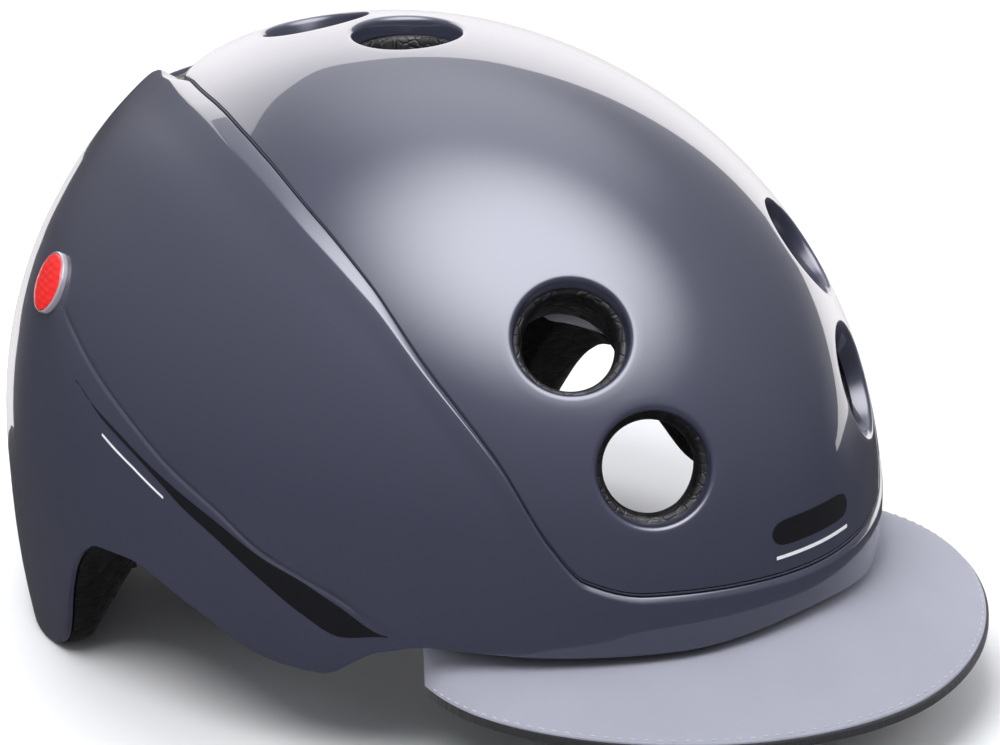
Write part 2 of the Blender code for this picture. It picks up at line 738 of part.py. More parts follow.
def build_buckle():
    frame = buckle_frame()
    seat = wall(arch_direction(0), BUCKLE_STANDOFF)
    for name, profile in (("buckle_socket", BUCKLE_SOCKET), ("buckle_tongue", BUCKLE_TONGUE)):
        rings = []
        for across in (-BUCKLE_WIDTH / 2, BUCKLE_WIDTH / 2):
            rings.append([seat + frame @ Vector((x, across, away)) for x, away in profile])
        made = add_object(name, lathe_solid(rings), "black_plastic", seat)
        magnet_seat = 0.0022 if name == "buckle_socket" else 0.0026
        inwards = frame.col[2] * (-1 if name == "buckle_socket" else 1)
        mouth = seat + frame @ Vector((0.0028, 0, magnet_seat))
        pocket = [(-0.001, MAGNET_RADIUS + GAP), (MAGNET_THICKNESS + 2 * GAP, MAGNET_RADIUS + GAP)]
        cut(made, turned(pocket, mouth, inwards, sides=12), f"{name}_pocket")
        disc = [(GAP, MAGNET_RADIUS), (GAP + MAGNET_THICKNESS, MAGNET_RADIUS)]
        add_object(f"{name}_magnet", turned(disc, mouth, inwards, sides=12), "magnet", mouth)


# ---------------------------------------------------------------- retention cradle

def at(x, y, z):
    return DOME_CENTRE + Vector((x, y, z))


def slab(half_width, faces, low, high, chamfer=0.003):
    """Upright plate across the back of the bowl, given by its two faces and its heights."""
    near, far = faces
    rings = []
    c = chamfer
    for y in (near, far):
        rings.append([at(x, y, z) for x, z in (
            (half_width - c, low), (half_width, low + c), (half_width, high - c),
            (half_width - c, high), (-half_width + c, high), (-half_width, high - c),
            (-half_width, low + c), (-half_width + c, low))])
    return lathe_solid(rings)


def build_arm(side, sign, rack_side):
    """Band arm: a straight rack through the housing, then a band curving to the temple."""
    z = DIAL_Z + rack_side * (PINION_RADIUS + GAP + ARM_HEIGHT / 2)
    run = [Vector((x, y, 0)) for x, y in ARM_PATH]
    curve = [Vector((-0.008, ARM_Y, 0)), Vector((0.014, ARM_Y, 0))] + spline(run, 11)
    sections = []
    for i, p in enumerate(curve):
        ahead = curve[min(i + 1, len(curve) - 1)] - curve[max(i - 1, 0)]
        side_step = Vector((-ahead.y, ahead.x, 0)).normalized() * (ARM_THICKNESS / 2)
        share = max(0, i - 2) / (len(curve) - 3)
        level = z + (ARM_TIP_Z - z) * share * share * (3 - 2 * share)
        section = []
        for across, up in ((-1, -1), (1, -1), (1, 1), (-1, 1)):
            q = p + side_step * across
            section.append(at(sign * q.x, q.y, level + up * ARM_HEIGHT / 2))
        sections.append(section)
    add_object(f"band_arm_{side}", sweep_solid(sections), "black_plastic", at(0, ARM_Y, z))


def build_cradle():
    yoke = slab(0.028, YOKE_FACES, -0.0455, -0.0145)
    add_object("cradle_yoke", yoke, "black_plastic")
    pad = [[at(x * 0.026, y, -0.030 + z * 0.0135)
            for x, z in ((0.85, -1), (1, -0.75), (1, 0.75), (0.85, 1),
                         (-0.85, 1), (-1, 0.75), (-1, -0.75), (-0.85, -1))]
           for y in (0.0685, YOKE_FACES[0] - GAP)]
    add_object("rear_pad", lathe_solid(pad), "pad_dark")

    cover = add_object("dial_cover", slab(0.026, COVER_FACES, -0.0425, -0.0225), "black_plastic")
    hole = [(-0.01, 0.0026), (0.01, 0.0026)]
    middle = (COVER_FACES[0] + COVER_FACES[1]) / 2
    cut(cover, turned(hole, at(0, middle, DIAL_Z), (0, 1, 0), sides=16), "shaft_hole")

    axis_point = at(0, 0, DIAL_Z)
    shaft = [(ARM_Y - ARM_THICKNESS / 2, PINION_RADIUS), (ARM_Y + ARM_THICKNESS / 2, PINION_RADIUS),
             (ARM_Y + ARM_THICKNESS / 2, 0.0022), (KNOB_FACES[0] - GAP, 0.0022)]
    add_object("dial_pinion", turned(shaft, axis_point, (0, 1, 0), sides=20), "black_plastic",
               at(0, ARM_Y, DIAL_Z))
    detent = [(DETENT_FACES[0], 0.0030), (DETENT_FACES[0], 0.0090), (DETENT_FACES[1], 0.0090),
              (DETENT_FACES[1], 0.0030)]
    add_object("dial_detent", turned_ring(detent, axis_point, (0, 1, 0), sides=20),
               "black_plastic")
    add_object("dial_knob", fluted_knob(), "grip_rubber", at(0, KNOB_FACES[0], DIAL_Z))

    build_arm("left", 1, -1)
    build_arm("right", -1, 1)
    build_hanger()


def fluted_knob():
    near, far = KNOB_FACES
    rings = []
    for y, r in ((near, 0.90), (near + 0.001, 1.0), (far - 0.0015, 1.0), (far, 0.85)):
        ring = []
        for i in range(2 * DIAL_FLUTES):
            a = pi * i / DIAL_FLUTES
            rr = DIAL_RADIUS * r - (0.0008 if i % 2 else 0.0)
            ring.append(at(rr * cos(a), y, DIAL_Z + rr * sin(a)))
        rings.append(ring)
    return lathe_solid(rings)


def build_hanger():
    """Strip that carries the yoke, and the clip on the liner that it slides in."""
    middle = sum(YOKE_FACES) / 2
    run = spline([(0, middle, -0.0140), (0, middle + 0.0012, -0.0112), (0, HANGER_Y - 0.0012, -0.0045),
                  (0, HANGER_Y, -0.0018)], 8) + [Vector((0, HANGER_Y, HANGER_TOP))]
    sections = []
    for p in run:
        section = []
        for across, deep in ((-1, -1), (1, -1), (1, 1), (-1, 1)):
            section.append(at(across * HANGER_WIDTH / 2, p.y + deep * HANGER_THICKNESS / 2, p.z))
        sections.append(section)
    add_object("cradle_hanger", sweep_solid(sections), "black_plastic")

    inner = HANGER_WIDTH / 2 + 2 * GAP
    near = HANGER_Y - HANGER_THICKNESS / 2 - 2 * GAP
    far = HANGER_Y + HANGER_THICKNESS / 2 + 2 * GAP
    outline = [(-inner - 0.004, near - 0.0015), (-inner + 0.003, near - 0.0015), (-inner + 0.003, near),
               (-inner, near), (-inner, far), (inner, far), (inner, near), (inner - 0.003, near),
               (inner - 0.003, near - 0.0015), (inner + 0.004, near - 0.0015),
               (inner + 0.004, far + 0.0045), (-inner - 0.004, far + 0.0045)]
    rings = [[at(x, y, z) for x, y in outline] for z in (0.009, 0.024)]
    add_object("hanger_clip", lathe_solid(rings), "black_plastic")


# ---------------------------------------------------------------- program

def make_materials():
    table = {
        "gloss_shell": ((0.105, 0.112, 0.150), 0.12),
        "foam": ((0.018, 0.018, 0.020), 0.75),
        "peak_fabric": ((0.40, 0.41, 0.53), 0.80),
        "black_plastic": ((0.020, 0.020, 0.022), 0.45),
        "reflector": ((0.80, 0.020, 0.015), 0.15),
        "bezel": ((0.70, 0.68, 0.70), 0.30),
        "pad_dark": ((0.045, 0.045, 0.050), 0.95),
        "pad_light": ((0.62, 0.62, 0.66), 0.95),
        "webbing": ((0.030, 0.030, 0.033), 0.85),
        "grip_rubber": ((0.030, 0.030, 0.032), 0.70),
        "magnet": ((0.60, 0.60, 0.62), 0.30, 1.0),
    }
    return {name: material(name, *values) for name, values in table.items()}


def main():
    build_dome_shell()
    build_lower_shell()
    build_liner()
    build_peak()
    build_reflectors()
    build_pads()
    build_straps()
    build_cradle()


clear_scene()
MATERIALS = make_materials()
main()
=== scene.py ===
"""Looks of the urban cycling helmet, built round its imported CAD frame.

Metres, +Z up, the wearer faces -Y.  Directions on the helmet are an azimuth (0 at the
front, 90 at the wearer's left) and a polar angle from straight up, both in degrees, seen
from the dome's centre.  The shells, the liner and the peak repeat the CAD's formulas on a
finer mesh, with rounded edges.  The seam, the shoulder below it, the side panel's top, the
vents' lips and throats and the foam's rear foot follow the photo more closely than the CAD
does.  Small mouldings round the CAD node's own mesh.
"""
import json
from math import cos, degrees, pi, radians, sin

import bmesh
import bpy
import numpy as np
from mathutils import Matrix, Vector, geometry

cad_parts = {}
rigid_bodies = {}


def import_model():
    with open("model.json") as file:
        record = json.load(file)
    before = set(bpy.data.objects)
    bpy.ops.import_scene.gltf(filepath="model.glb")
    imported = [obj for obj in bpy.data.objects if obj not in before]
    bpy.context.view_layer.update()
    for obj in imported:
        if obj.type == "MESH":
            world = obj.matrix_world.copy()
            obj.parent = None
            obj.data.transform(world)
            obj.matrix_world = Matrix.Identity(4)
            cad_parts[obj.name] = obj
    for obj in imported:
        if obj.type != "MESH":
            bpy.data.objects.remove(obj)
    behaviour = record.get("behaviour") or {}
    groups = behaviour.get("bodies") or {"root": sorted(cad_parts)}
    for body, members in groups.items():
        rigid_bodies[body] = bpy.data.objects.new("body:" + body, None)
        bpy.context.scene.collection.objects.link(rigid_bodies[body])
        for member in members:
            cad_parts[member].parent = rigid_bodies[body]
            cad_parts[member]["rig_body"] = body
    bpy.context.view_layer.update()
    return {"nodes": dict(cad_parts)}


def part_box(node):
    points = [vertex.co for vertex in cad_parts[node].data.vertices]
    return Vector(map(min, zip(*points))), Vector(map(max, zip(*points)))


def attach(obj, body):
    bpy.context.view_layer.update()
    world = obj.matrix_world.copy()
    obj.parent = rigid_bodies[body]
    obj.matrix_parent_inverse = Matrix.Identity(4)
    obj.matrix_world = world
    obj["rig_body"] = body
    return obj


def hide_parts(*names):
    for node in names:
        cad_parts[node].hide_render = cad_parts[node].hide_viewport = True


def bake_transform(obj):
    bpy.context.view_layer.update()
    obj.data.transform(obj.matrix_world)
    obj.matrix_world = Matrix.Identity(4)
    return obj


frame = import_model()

MM = 0.001

# ---------------------------------------------------------------- dimensions, as in the CAD

TAIL_DEPTH = 0.0485
CENTRE = np.array((0.0, 0.0270, TAIL_DEPTH))
OUTER = {"side": 0.1058, "front": 0.1467, "back": 0.1269, "up": 0.1205, "down": 0.0847,
         "plan_power": 1.924, "up_power": 2.096, "down_power": 2.32}
CAVITY = {"side": 0.082, "front": 0.112, "back": 0.097, "up": 0.093, "down": 0.150,
          "plan_power": 2.05, "up_power": 2.1, "down_power": 2.3}
SHELL = 1.5 * MM
GAP = 0.3 * MM
LAP = 0.6 * MM

DOME_EDGE = [(0, 89.2), (20, 88.6), (26.5, 86.5), (30, 82), (35, 72), (40.5, 63.5), (47, 55),
             (59, 43.5), (80, 33.5), (105, 29.5), (144, 30.5), (180, 27.5)]
HOOD_EDGE = [(146, 32.5), (154, 37.5), (162, 40.5), (180, 42)]
GROOVE = [(0, 0.25), (60, 0.35), (110, 1.0), (146, 1.6)]
FLARE = [(0, 0.0), (30, 0.0001), (60, 0.0006), (100, 0.0018), (144, 0.0040), (150, 0.0042),
         (160, 0.0010), (180, 0.0004)]
FLARE_REACH = 24.0
SWEEP = [(98, 0.0), (116, 0.0072), (130, 0.0110), (180, 0.0110)]
SWEEP_START = 92.0
SWEEP_SPAN = 24.0
SWEEP_STEPS = 12
RIM = [(0, -0.010), (16, -0.0135), (30, -0.013), (44, -0.0112), (51, -0.0145), (59, -0.0230),
       (66, -0.0220), (79, -0.0115), (92, -0.0030), (99, -0.0036), (103, -0.0076),
       (106, -0.0130), (109, -0.0215), (113, -0.0350), (116, -0.0425), (120, -0.0470),
       (125, -TAIL_DEPTH), (158, -TAIL_DEPTH), (162, -0.0470), (168, -0.0290),
       (174, -0.0190), (180, -0.0175)]

UPPER_VENT = (0.0460, -0.1040, 0.0680)
LOWER_VENT = (0.0410, -0.1270, 0.0360)
LOWER_VENT_AXIS = (0.60, -0.735, 0.315)
CROWN_VENTS = ((0.0, -0.003, 0.1205), (0.0, 0.0330, 0.1160))
VENT_LENGTH = 0.045

# ---------------------------------------------------------------- details of the looks

# visible edge of the dome, within about 3 degrees of the CAD's
SEAM = [(0, 89.2), (20, 88.6), (26.5, 86.5), (30, 82), (35, 72), (42.5, 60.9), (51.2, 49.3),
        (62, 40.5), (76, 33.35), (84, 30.75), (90, 29.3), (96, 28.25), (102, 27.45),
        (108, 26.95), (115, 26.75), (122, 26.95), (130, 27.5), (138, 28.4), (148, 30.4),
        (180, 27.5)]
# width of the shoulder between the dome and the lower shell's panel, in degrees
SHOULDER = [(0, 0.75), (30, 0.75), (40, 1.0), (47, 1.7), (55, 2.5), (64, 2.85), (76, 2.8),
            (90, 2.75), (104, 2.45), (120, 2.4), (144, 2.2), (180, 2.2)]
# how far the panel's top lies below the CAD's flare
SINK = [(60, 0.0), (85, 0.0009), (100, 0.0014), (125, 0.0022), (140, 0.0016), (150, 0.0)]
SINK_REACH = 12.0         # degrees
# raised edge of the panel, and how far down the panel it fades out
RIDGE = 0.35 * MM
RIDGE_WIDTH = 5.0         # degrees
# azimuths over which the seam turns into the free edge of the rear hood
HOOD_START = 141
HOOD_SPAN = 11
# moulded crease low on the rear panel: azimuth and polar angle
CREASE = [(40, 97.0), (48.5, 94.1), (55.6, 89.8), (67, 84.9), (74.3, 80.2), (83.5, 75.5),
          (92.4, 70.7), (102.7, 66.2), (114, 62.0), (130, 57.0), (180, 50.0)]
CREASE_DEPTH = 0.6 * MM
CREASE_WIDTH = 0.45       # degrees
# plain tapered black band under that crease
BAND_TOP = [(49.2, 94.2), (55.6, 90.9), (60.9, 88.1), (66.9, 85.7), (74.2, 81.9), (81.8, 78.5),
            (86.9, 76.3), (94.5, 73.1), (102.2, 70.6), (107.0, 69.0)]
BAND_FOOT = [(49.2, 94.3), (55.5, 95.2), (61.1, 92.7), (66.8, 89.1), (74.2, 84.3), (80.8, 80.7),
             (84.7, 78.3), (91.2, 75.0), (98.8, 72.1), (107.0, 69.1)]
WHITE_LINE = [(84.0, 80.3), (90.4, 77.3), (97.8, 74.4)]
WHITE_LINE_WIDTH = 0.6 * MM
MARK_HALF_WIDTH = 6.0     # degrees
MARK_ROWS = (83.3, 86.0)
MARK_LINE_ROWS = (87.0, 87.35)
PANEL_PRINT = 0.14 * MM
DOME_PRINT = 0.12 * MM

VENT_SIDES = 72
DOME_GRID = 1.7           # degrees between the dome's mesh points
DOME_SPAN = 92            # degrees that the grid covers each way
DOME_BORDER = 0.40        # degrees between the grid and the dome's rolled edge
VENT_LIP_START = 18.9 * MM
# vent lip, from its top round to its back: radius and depth below the dome, in mm
VENT_LIP = [(15.1, 0.0), (14.2, 5.4), (15.3, 5.5), (15.9, 2.6)]
VENT_LIP_ROUNDING = [1.8 * MM, 0.5 * MM, 0.3 * MM, 0.1 * MM]
# vent bore in the foam: distance out along its axis, and radius
VENT_BORE = [(-VENT_LENGTH, 17.5 * MM), (-30 * MM, 14.8 * MM), (-11 * MM, 11.8 * MM),
             (-6.2 * MM, 12.9 * MM), (-5.9 * MM, 15.9 * MM), (8 * MM, 16.4 * MM)]
VENT_BORE_ROUNDING = [3 * MM, 4 * MM, 1.2 * MM, 0.2 * MM]
BEAD = 2.7 * MM           # foam bead diameter

# ---------------------------------------------------------------- curves and surfaces


def smooth(points, x):
    """Values at x of a smooth curve through points that never overshoots between them."""
    px, py = np.array(points, float).T
    x = np.clip(x, px[0], px[-1])
    k = np.clip(np.searchsorted(px, x, side="right") - 1, 0, len(px) - 2)
    width = np.diff(px)
    slope = np.diff(py) / width
    tangent = np.zeros(len(px))
    before, after = slope[:-1], slope[1:]
    both = before * after > 0
    tangent[1:-1][both] = 2 * before[both] * after[both] / (before[both] + after[both])
    w = width[k]
    t = (x - px[k]) / w
    return (py[k] * (1 + 2 * t) * (1 - t) ** 2 + py[k + 1] * t * t * (3 - 2 * t)
            + w * tangent[k] * t * (1 - t) ** 2 - w * tangent[k + 1] * t * t * (1 - t))


def ease(t):
    t = np.clip(t, 0, 1)
    return t * t * (3 - 2 * t)


def directions(azimuth, polar):
    a = np.radians(azimuth)
    p = np.radians(polar)
    return np.stack([np.sin(a) * np.sin(p), -np.cos(a) * np.sin(p), np.cos(p) + 0 * a], axis=-1)


def reach(d, body):
    """Distance from the centre to a superellipsoid along unit vectors d."""
    x, y, z = np.moveaxis(d, -1, 0)
    y_axis = np.where(y < 0, body["front"], body["back"])
    z_axis = np.where(z > 0, body["up"], body["down"])
    n = np.where(z > 0, body["up_power"], body["down_power"])
    m = body["plan_power"]
    plan = (np.abs(x) / body["side"]) ** m + (np.abs(y) / y_axis) ** m
    return (plan ** (n / m) + (np.abs(z) / z_axis) ** n) ** (-1 / n)


def on_body(azimuth, polar, lift=0.0, body=OUTER):
    d = directions(azimuth, polar)
    return CENTRE + d * (reach(d, body) + lift)[..., None]


def polar_at_height(azimuth, height, body=OUTER):
    n = np.where(height > 0, body["up_power"], body["down_power"])
    z_axis = np.where(height > 0, body["up"], body["down"])
    level = (1 - (np.abs(height) / z_axis) ** n) ** (1 / n)
    a = np.radians(azimuth)
    y_axis = np.where(np.cos(a) > 0, body["front"], body["back"])
    m = body["plan_power"]
    plan = (np.abs(np.sin(a)) / body["side"]) ** m + (np.abs(np.cos(a)) / y_axis) ** m
    return np.degrees(np.arctan2(level * plan ** (-1 / m), height))


def outward(points, body=OUTER):
    """Unit normals of a superellipsoid's surface near world points."""
    step = 1e-5
    grads = []
    for axis in range(3):
        shift = np.zeros(3)
        shift[axis] = step
        values = []
        for s in (1, -1):
            q = points - CENTRE + s * shift
            r = np.linalg.norm(q, axis=-1)
            values.append(r / reach(q / r[..., None], body))
        grads.append(values[0] - values[1])
    g = np.stack(grads, axis=-1)
    return g / np.linalg.norm(g, axis=-1)[..., None]


def dome_edge(azimuth):
    return smooth(DOME_EDGE, np.abs(azimuth))


def seam(azimuth):
    return smooth(SEAM, np.abs(azimuth))


def lower_edge(azimuth):
    a = np.abs(azimuth)
    hood = dome_edge(np.array([146.0]))[0] + GROOVE[-1][1] + smooth(HOOD_EDGE, a) - HOOD_EDGE[0][1]
    return np.where(a <= 146, dome_edge(a) + smooth(GROOVE, a), hood)


def rim_height(azimuth):
    return smooth(RIM, np.abs(azimuth))


def sweep(azimuth, polar):
    """How far the tail's foot sweeps outwards."""
    below = np.maximum(0.0, (polar - SWEEP_START) / SWEEP_SPAN)
    return smooth(SWEEP, np.abs(azimuth)) * below * below


def rim_polar(azimuth):
    """Polar angle of the lower rim, found in steps because the sweep also lowers the rim."""
    a = np.abs(azimuth)
    polar = polar_at_height(a, rim_height(a))
    for _ in range(SWEEP_STEPS):
        polar = polar_at_height(a, rim_height(a) - sweep(a, polar) * np.cos(np.radians(polar)))
    return polar


def flare(azimuth, polar):
    """How far the lower shell stands off the dome's surface, without its moulded crease."""
    top = lower_edge(azimuth)
    span = np.minimum(FLARE_REACH, 0.8 * (rim_polar(azimuth) - top))
    fade = np.clip(1 - (polar - top) / span, 0, 1.4)
    past = polar - seam(azimuth) - smooth(SHOULDER, np.abs(azimuth))
    sink = smooth(SINK, np.abs(azimuth)) * ease(1 - past / SINK_REACH)
    return LAP + smooth(FLARE, np.abs(azimuth)) * fade * fade + sweep(azimuth, polar) - sink


def hood_share(azimuth):
    """0 where the lower shell meets the dome, 1 where its edge is the rear hood's."""
    return ease((np.abs(azimuth) - HOOD_START) / HOOD_SPAN)


def crease_polar(azimuth):
    return smooth(CREASE, np.abs(azimuth))


def panel_lift(azimuth, polar):
    """Flare and raised edge, less the moulded crease: a valley with a step in below it."""
    a = np.abs(azimuth)
    s = (polar - crease_polar(a)) / CREASE_WIDTH
    strength = ease((a - 45) / 9) * ease((120 - a) / 11)
    valley = np.exp(-s * s) + 0.5 * ease((s + 1) / 2) * ease((17 - s) / 15)
    past = polar - seam(a) - smooth(SHOULDER, a)
    ridge = RIDGE * ease(1 - past / RIDGE_WIDTH) * (1 - hood_share(a))
    return flare(azimuth, polar) + ridge - CREASE_DEPTH * strength * valley


def mirrored(v):
    return (-v[0], v[1], v[2])


def vents():
    """Centre, from the dome's centre, and outward axis of every ventilation hole."""
    found = []
    upper = np.array(UPPER_VENT)
    axis = upper / np.array((OUTER["side"], OUTER["front"], OUTER["up"])) ** 2
    found += [(UPPER_VENT, axis), (mirrored(UPPER_VENT), mirrored(axis))]
    found += [(LOWER_VENT, LOWER_VENT_AXIS), (mirrored(LOWER_VENT), mirrored(LOWER_VENT_AXIS))]
    for centre in CROWN_VENTS:
        c = np.array(centre)
        y_axis = OUTER["front"] if c[1] < 0 else OUTER["back"]
        found.append((centre, c / np.array((OUTER["side"], y_axis, OUTER["up"])) ** 2))
    return [(np.array(c), np.array(n) / np.linalg.norm(n)) for c, n in found]


# ---------------------------------------------------------------- mesh helpers


def piece(name, vertices, faces, finish, body="helmet", stands_for=(), normals=None,
          sharp=35, uv=None):
    """Make a shown piece from world coordinates and let it ride."""
    mesh = bpy.data.meshes.new(name)
    mesh.from_pydata([tuple(v) for v in vertices], [], [tuple(f) for f in faces])
    mesh.materials.append(finish)
    if uv is not None:
        layer = mesh.uv_layers.new(name="UVMap")
        corner = np.zeros(len(mesh.loops), np.int32)
        mesh.loops.foreach_get("vertex_index", corner)
        layer.data.foreach_set("uv", np.asarray(uv, np.float32)[corner].ravel())
    if normals is None:
        bm = bmesh.new()
        bm.from_mesh(mesh)
        bmesh.ops.recalc_face_normals(bm, faces=bm.faces)
        bm.to_mesh(mesh)
        bm.free()
    mesh.shade_smooth()
    if normals is None:
        mesh.set_sharp_from_angle(angle=radians(sharp))
    else:
        auto = np.zeros(len(mesh.vertices) * 3, np.float32)
        mesh.vertex_normals.foreach_get("vector", auto)
        auto = auto.reshape(-1, 3)
        known = ~np.isnan(normals[:, 0])
        auto[known] = normals[known]
        mesh.normals_split_custom_set_from_vertices(auto.tolist())
    made = bpy.data.objects.new(name, mesh)
    bpy.context.scene.collection.objects.link(made)
    return adopt(made, body, stands_for)


def adopt(made, body, stands_for=()):
    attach(made, body)
    if stands_for:
        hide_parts(*stands_for)
    return made


def loop_faces(first, second, count):
    """Quads between two closed rows of vertices that start at these indices."""
    return [(first + i, first + (i + 1) % count, second + (i + 1) % count, second + i)
            for i in range(count)]


def tube(rows, closed_rows=False):
    """Vertices and faces of closed rings in order, capped unless the last joins the first."""
    count = len(rows[0])
    vertices = np.concatenate([np.asarray(r, float) for r in rows])
    faces = []
    for k in range(len(rows) - 1 + closed_rows):
        faces += loop_faces(k * count, (k + 1) % len(rows) * count, count)
    if not closed_rows:
        last = (len(rows) - 1) * count
        faces.append(tuple(range(count))[::-1])
        faces.append(tuple(range(last, last + count)))
    return vertices, faces


def rounded(points, radii, steps=4):
    """Rows of a profile with its corners rounded; each point is one array over all columns."""
    points = [np.asarray(p, float) for p in points]
    rows = [points[0]]
    for k in range(1, len(points) - 1):
        a, b, c = points[k - 1], points[k], points[k + 1]
        if radii[k - 1] == 0:
            rows.append(b)
            continue
        before = np.linalg.norm(a - b, axis=-1)
        after = np.linalg.norm(c - b, axis=-1)
        r = np.minimum(radii[k - 1], 0.46 * np.minimum(before, after))
        start = b + (a - b) * (r / np.maximum(before, 1e-9))[..., None]
        end = b + (c - b) * (r / np.maximum(after, 1e-9))[..., None]
        for t in np.linspace(0, 1, steps):
            rows.append(start * (1 - t) ** 2 + 2 * b * t * (1 - t) + end * t * t)
    rows.append(points[-1])
    return rows


def basis(axis):
    axis = Vector(axis).normalized()
    across = axis.orthogonal().normalized()
    return np.array(across), np.array(axis.cross(across)), np.array(axis)


def turned(profile, centre, axis, sides=64, radii=None):
    """Turned solid; profile is a list of (distance along, radius), with optional roundings."""
    across, other, along = basis(axis)
    turn = np.linspace(0, 2 * pi, sides, endpoint=False)[:, None]
    spokes = across * np.cos(turn) + other * np.sin(turn)
    rows = [np.asarray(centre) + along * d + spokes * r for d, r in profile]
    if radii:
        rows = rounded(rows, radii)
    return tube(rows)


def spline(points, count):
    """Points on a Catmull-Rom curve through the given ones."""
    points = [Vector(p) for p in points]
    ends = [2 * points[0] - points[1]] + points + [2 * points[-1] - points[-2]]
    found = []
    for t in np.linspace(0, len(points) - 1, count):
        k = min(int(t), len(points) - 2)
        u = t - k
        p0, p1, p2, p3 = ends[k:k + 4]
        found.append(0.5 * (2 * p1 + (p2 - p0) * u + (2 * p0 - 5 * p1 + 4 * p2 - p3) * u * u
                            + (3 * p1 - p0 - 3 * p2 + p3) * u ** 3))
    return found


def refined(node, finish, body, bevel, segments=3, sharp=32):
    """The CAD node's own solid with its edges rounded."""
    bm = bmesh.new()
    bm.from_mesh(frame["nodes"][node].data)
    bmesh.ops.remove_doubles(bm, verts=bm.verts, dist=1e-6)
    bmesh.ops.dissolve_limit(bm, angle_limit=radians(1), verts=bm.verts, edges=bm.edges)
    bmesh.ops.recalc_face_normals(bm, faces=bm.faces)
    edges = [e for e in bm.edges if len(e.link_faces) == 2 and e.calc_face_angle(0) > radians(28)]
    bmesh.ops.bevel(bm, geom=edges, offset=bevel, offset_type="OFFSET", segments=segments,
                    profile=0.5, affect="EDGES", clamp_overlap=True)
    mesh = bpy.data.meshes.new(node + "_moulding")
    bm.to_mesh(mesh)
    bm.free()
    mesh.materials.clear()
    mesh.materials.append(finish)
    mesh.shade_smooth()
    mesh.set_sharp_from_angle(angle=radians(sharp))
    made = bpy.data.objects.new(node + "_moulding", mesh)
    bpy.context.scene.collection.objects.link(made)
    return adopt(made, body, (node,))


# ---------------------------------------------------------------- materials


class Finish:
    """A Principled material with its nodes at hand."""

    def __init__(self, name, colour, roughness, **sockets):
        self.made = bpy.data.materials.new(name)
        self.made.use_nodes = True
        self.tree = self.made.node_tree
        self.shader = self.tree.nodes["Principled BSDF"]
        self.shader.inputs["Base Color"].default_value = (*colour, 1)
        self.shader.inputs["Roughness"].default_value = roughness
        for socket, value in sockets.items():
            self.shader.inputs[socket.replace("_", " ")].default_value = value
        self.height = None

    def node(self, kind, **values):
        made = self.tree.nodes.new(kind)
        for name, value in values.items():
            if hasattr(made, name):
                setattr(made, name, value)
            else:
                made.inputs[name.replace("_", " ")].default_value = value
        return made

    def link(self, out, into):
        self.tree.links.new(out, into)

    def place(self, coordinates="Object"):
        """Coordinates on the piece, in metres."""
        return self.node("ShaderNodeTexCoord").outputs[coordinates]

    def noise(self, size, detail=3.0):
        made = self.node("ShaderNodeTexNoise", Scale=1 / size, Detail=detail)
        self.link(self.place(), made.inputs["Vector"])
        return made.outputs["Fac"]

    def spread(self, factor, low, high):
        made = self.node("ShaderNodeMapRange")
        made.inputs["To Min"].default_value = low
        made.inputs["To Max"].default_value = high
        self.link(factor, made.inputs["Value"])
        return made.outputs["Result"]

    def vary_roughness(self, factor, low, high):
        self.link(self.spread(factor, low, high), self.shader.inputs["Roughness"])

    def vary_colour(self, factor, first, second):
        made = self.node("ShaderNodeMix", data_type="RGBA")
        colour_sockets = [s for s in made.inputs if s.type == "RGBA"]
        colour_sockets[0].default_value = (*first, 1)
        colour_sockets[1].default_value = (*second, 1)
        self.link(factor, made.inputs[0])
        out = [s for s in made.outputs if s.type == "RGBA"][0]
        self.link(out, self.shader.inputs["Base Color"])

    def bump(self, factor, depth, strength=1.0):
        made = self.node("ShaderNodeBump")
        made.inputs["Strength"].default_value = strength
        made.inputs["Distance"].default_value = depth
        self.link(factor, made.inputs["Height"])
        if self.height is not None:
            self.link(self.height, made.inputs["Normal"])
        self.height = made.outputs["Normal"]
        self.link(self.height, self.shader.inputs["Normal"])


def scaled(colour, factor):
    return tuple(c * factor for c in colour)


def shell_finish():
    f = Finish("polycarbonate", (0.040, 0.042, 0.070), 0.3, Coat_Weight=1.0,
               Coat_Roughness=0.02, Coat_IOR=1.5, Specular_IOR_Level=0.35)
    f.vary_roughness(f.noise(0.06, 1.0), 0.27, 0.33)
    f.vary_colour(f.noise(0.12, 1.0), (0.039, 0.041, 0.068), (0.041, 0.043, 0.072))
    return f.made


def foam_finish():
    f = Finish("bead_foam", (0.014, 0.013, 0.014), 0.5, Specular_IOR_Level=0.4)
    cells = f.node("ShaderNodeTexVoronoi", Scale=1 / BEAD)
    f.link(f.place(), cells.inputs["Vector"])
    borders = f.node("ShaderNodeTexVoronoi", feature="DISTANCE_TO_EDGE", Scale=1 / BEAD)
    f.link(f.place(), borders.inputs["Vector"])
    step = f.node("ShaderNodeMapRange", interpolation_type="SMOOTHSTEP")
    step.inputs["From Max"].default_value = 0.16
    f.link(borders.outputs["Distance"], step.inputs["Value"])
    f.bump(step.outputs["Result"], 0.0002, 0.7)
    f.bump(f.noise(0.0006, 2.0), 0.00005, 0.5)
    tone = f.node("ShaderNodeSeparateColor")
    f.link(cells.outputs["Color"], tone.inputs["Color"])
    f.vary_colour(tone.outputs["Red"], (0.004, 0.004, 0.004), (0.010, 0.009, 0.010))
    f.vary_roughness(tone.outputs["Green"], 0.38, 0.62)
    return f.made


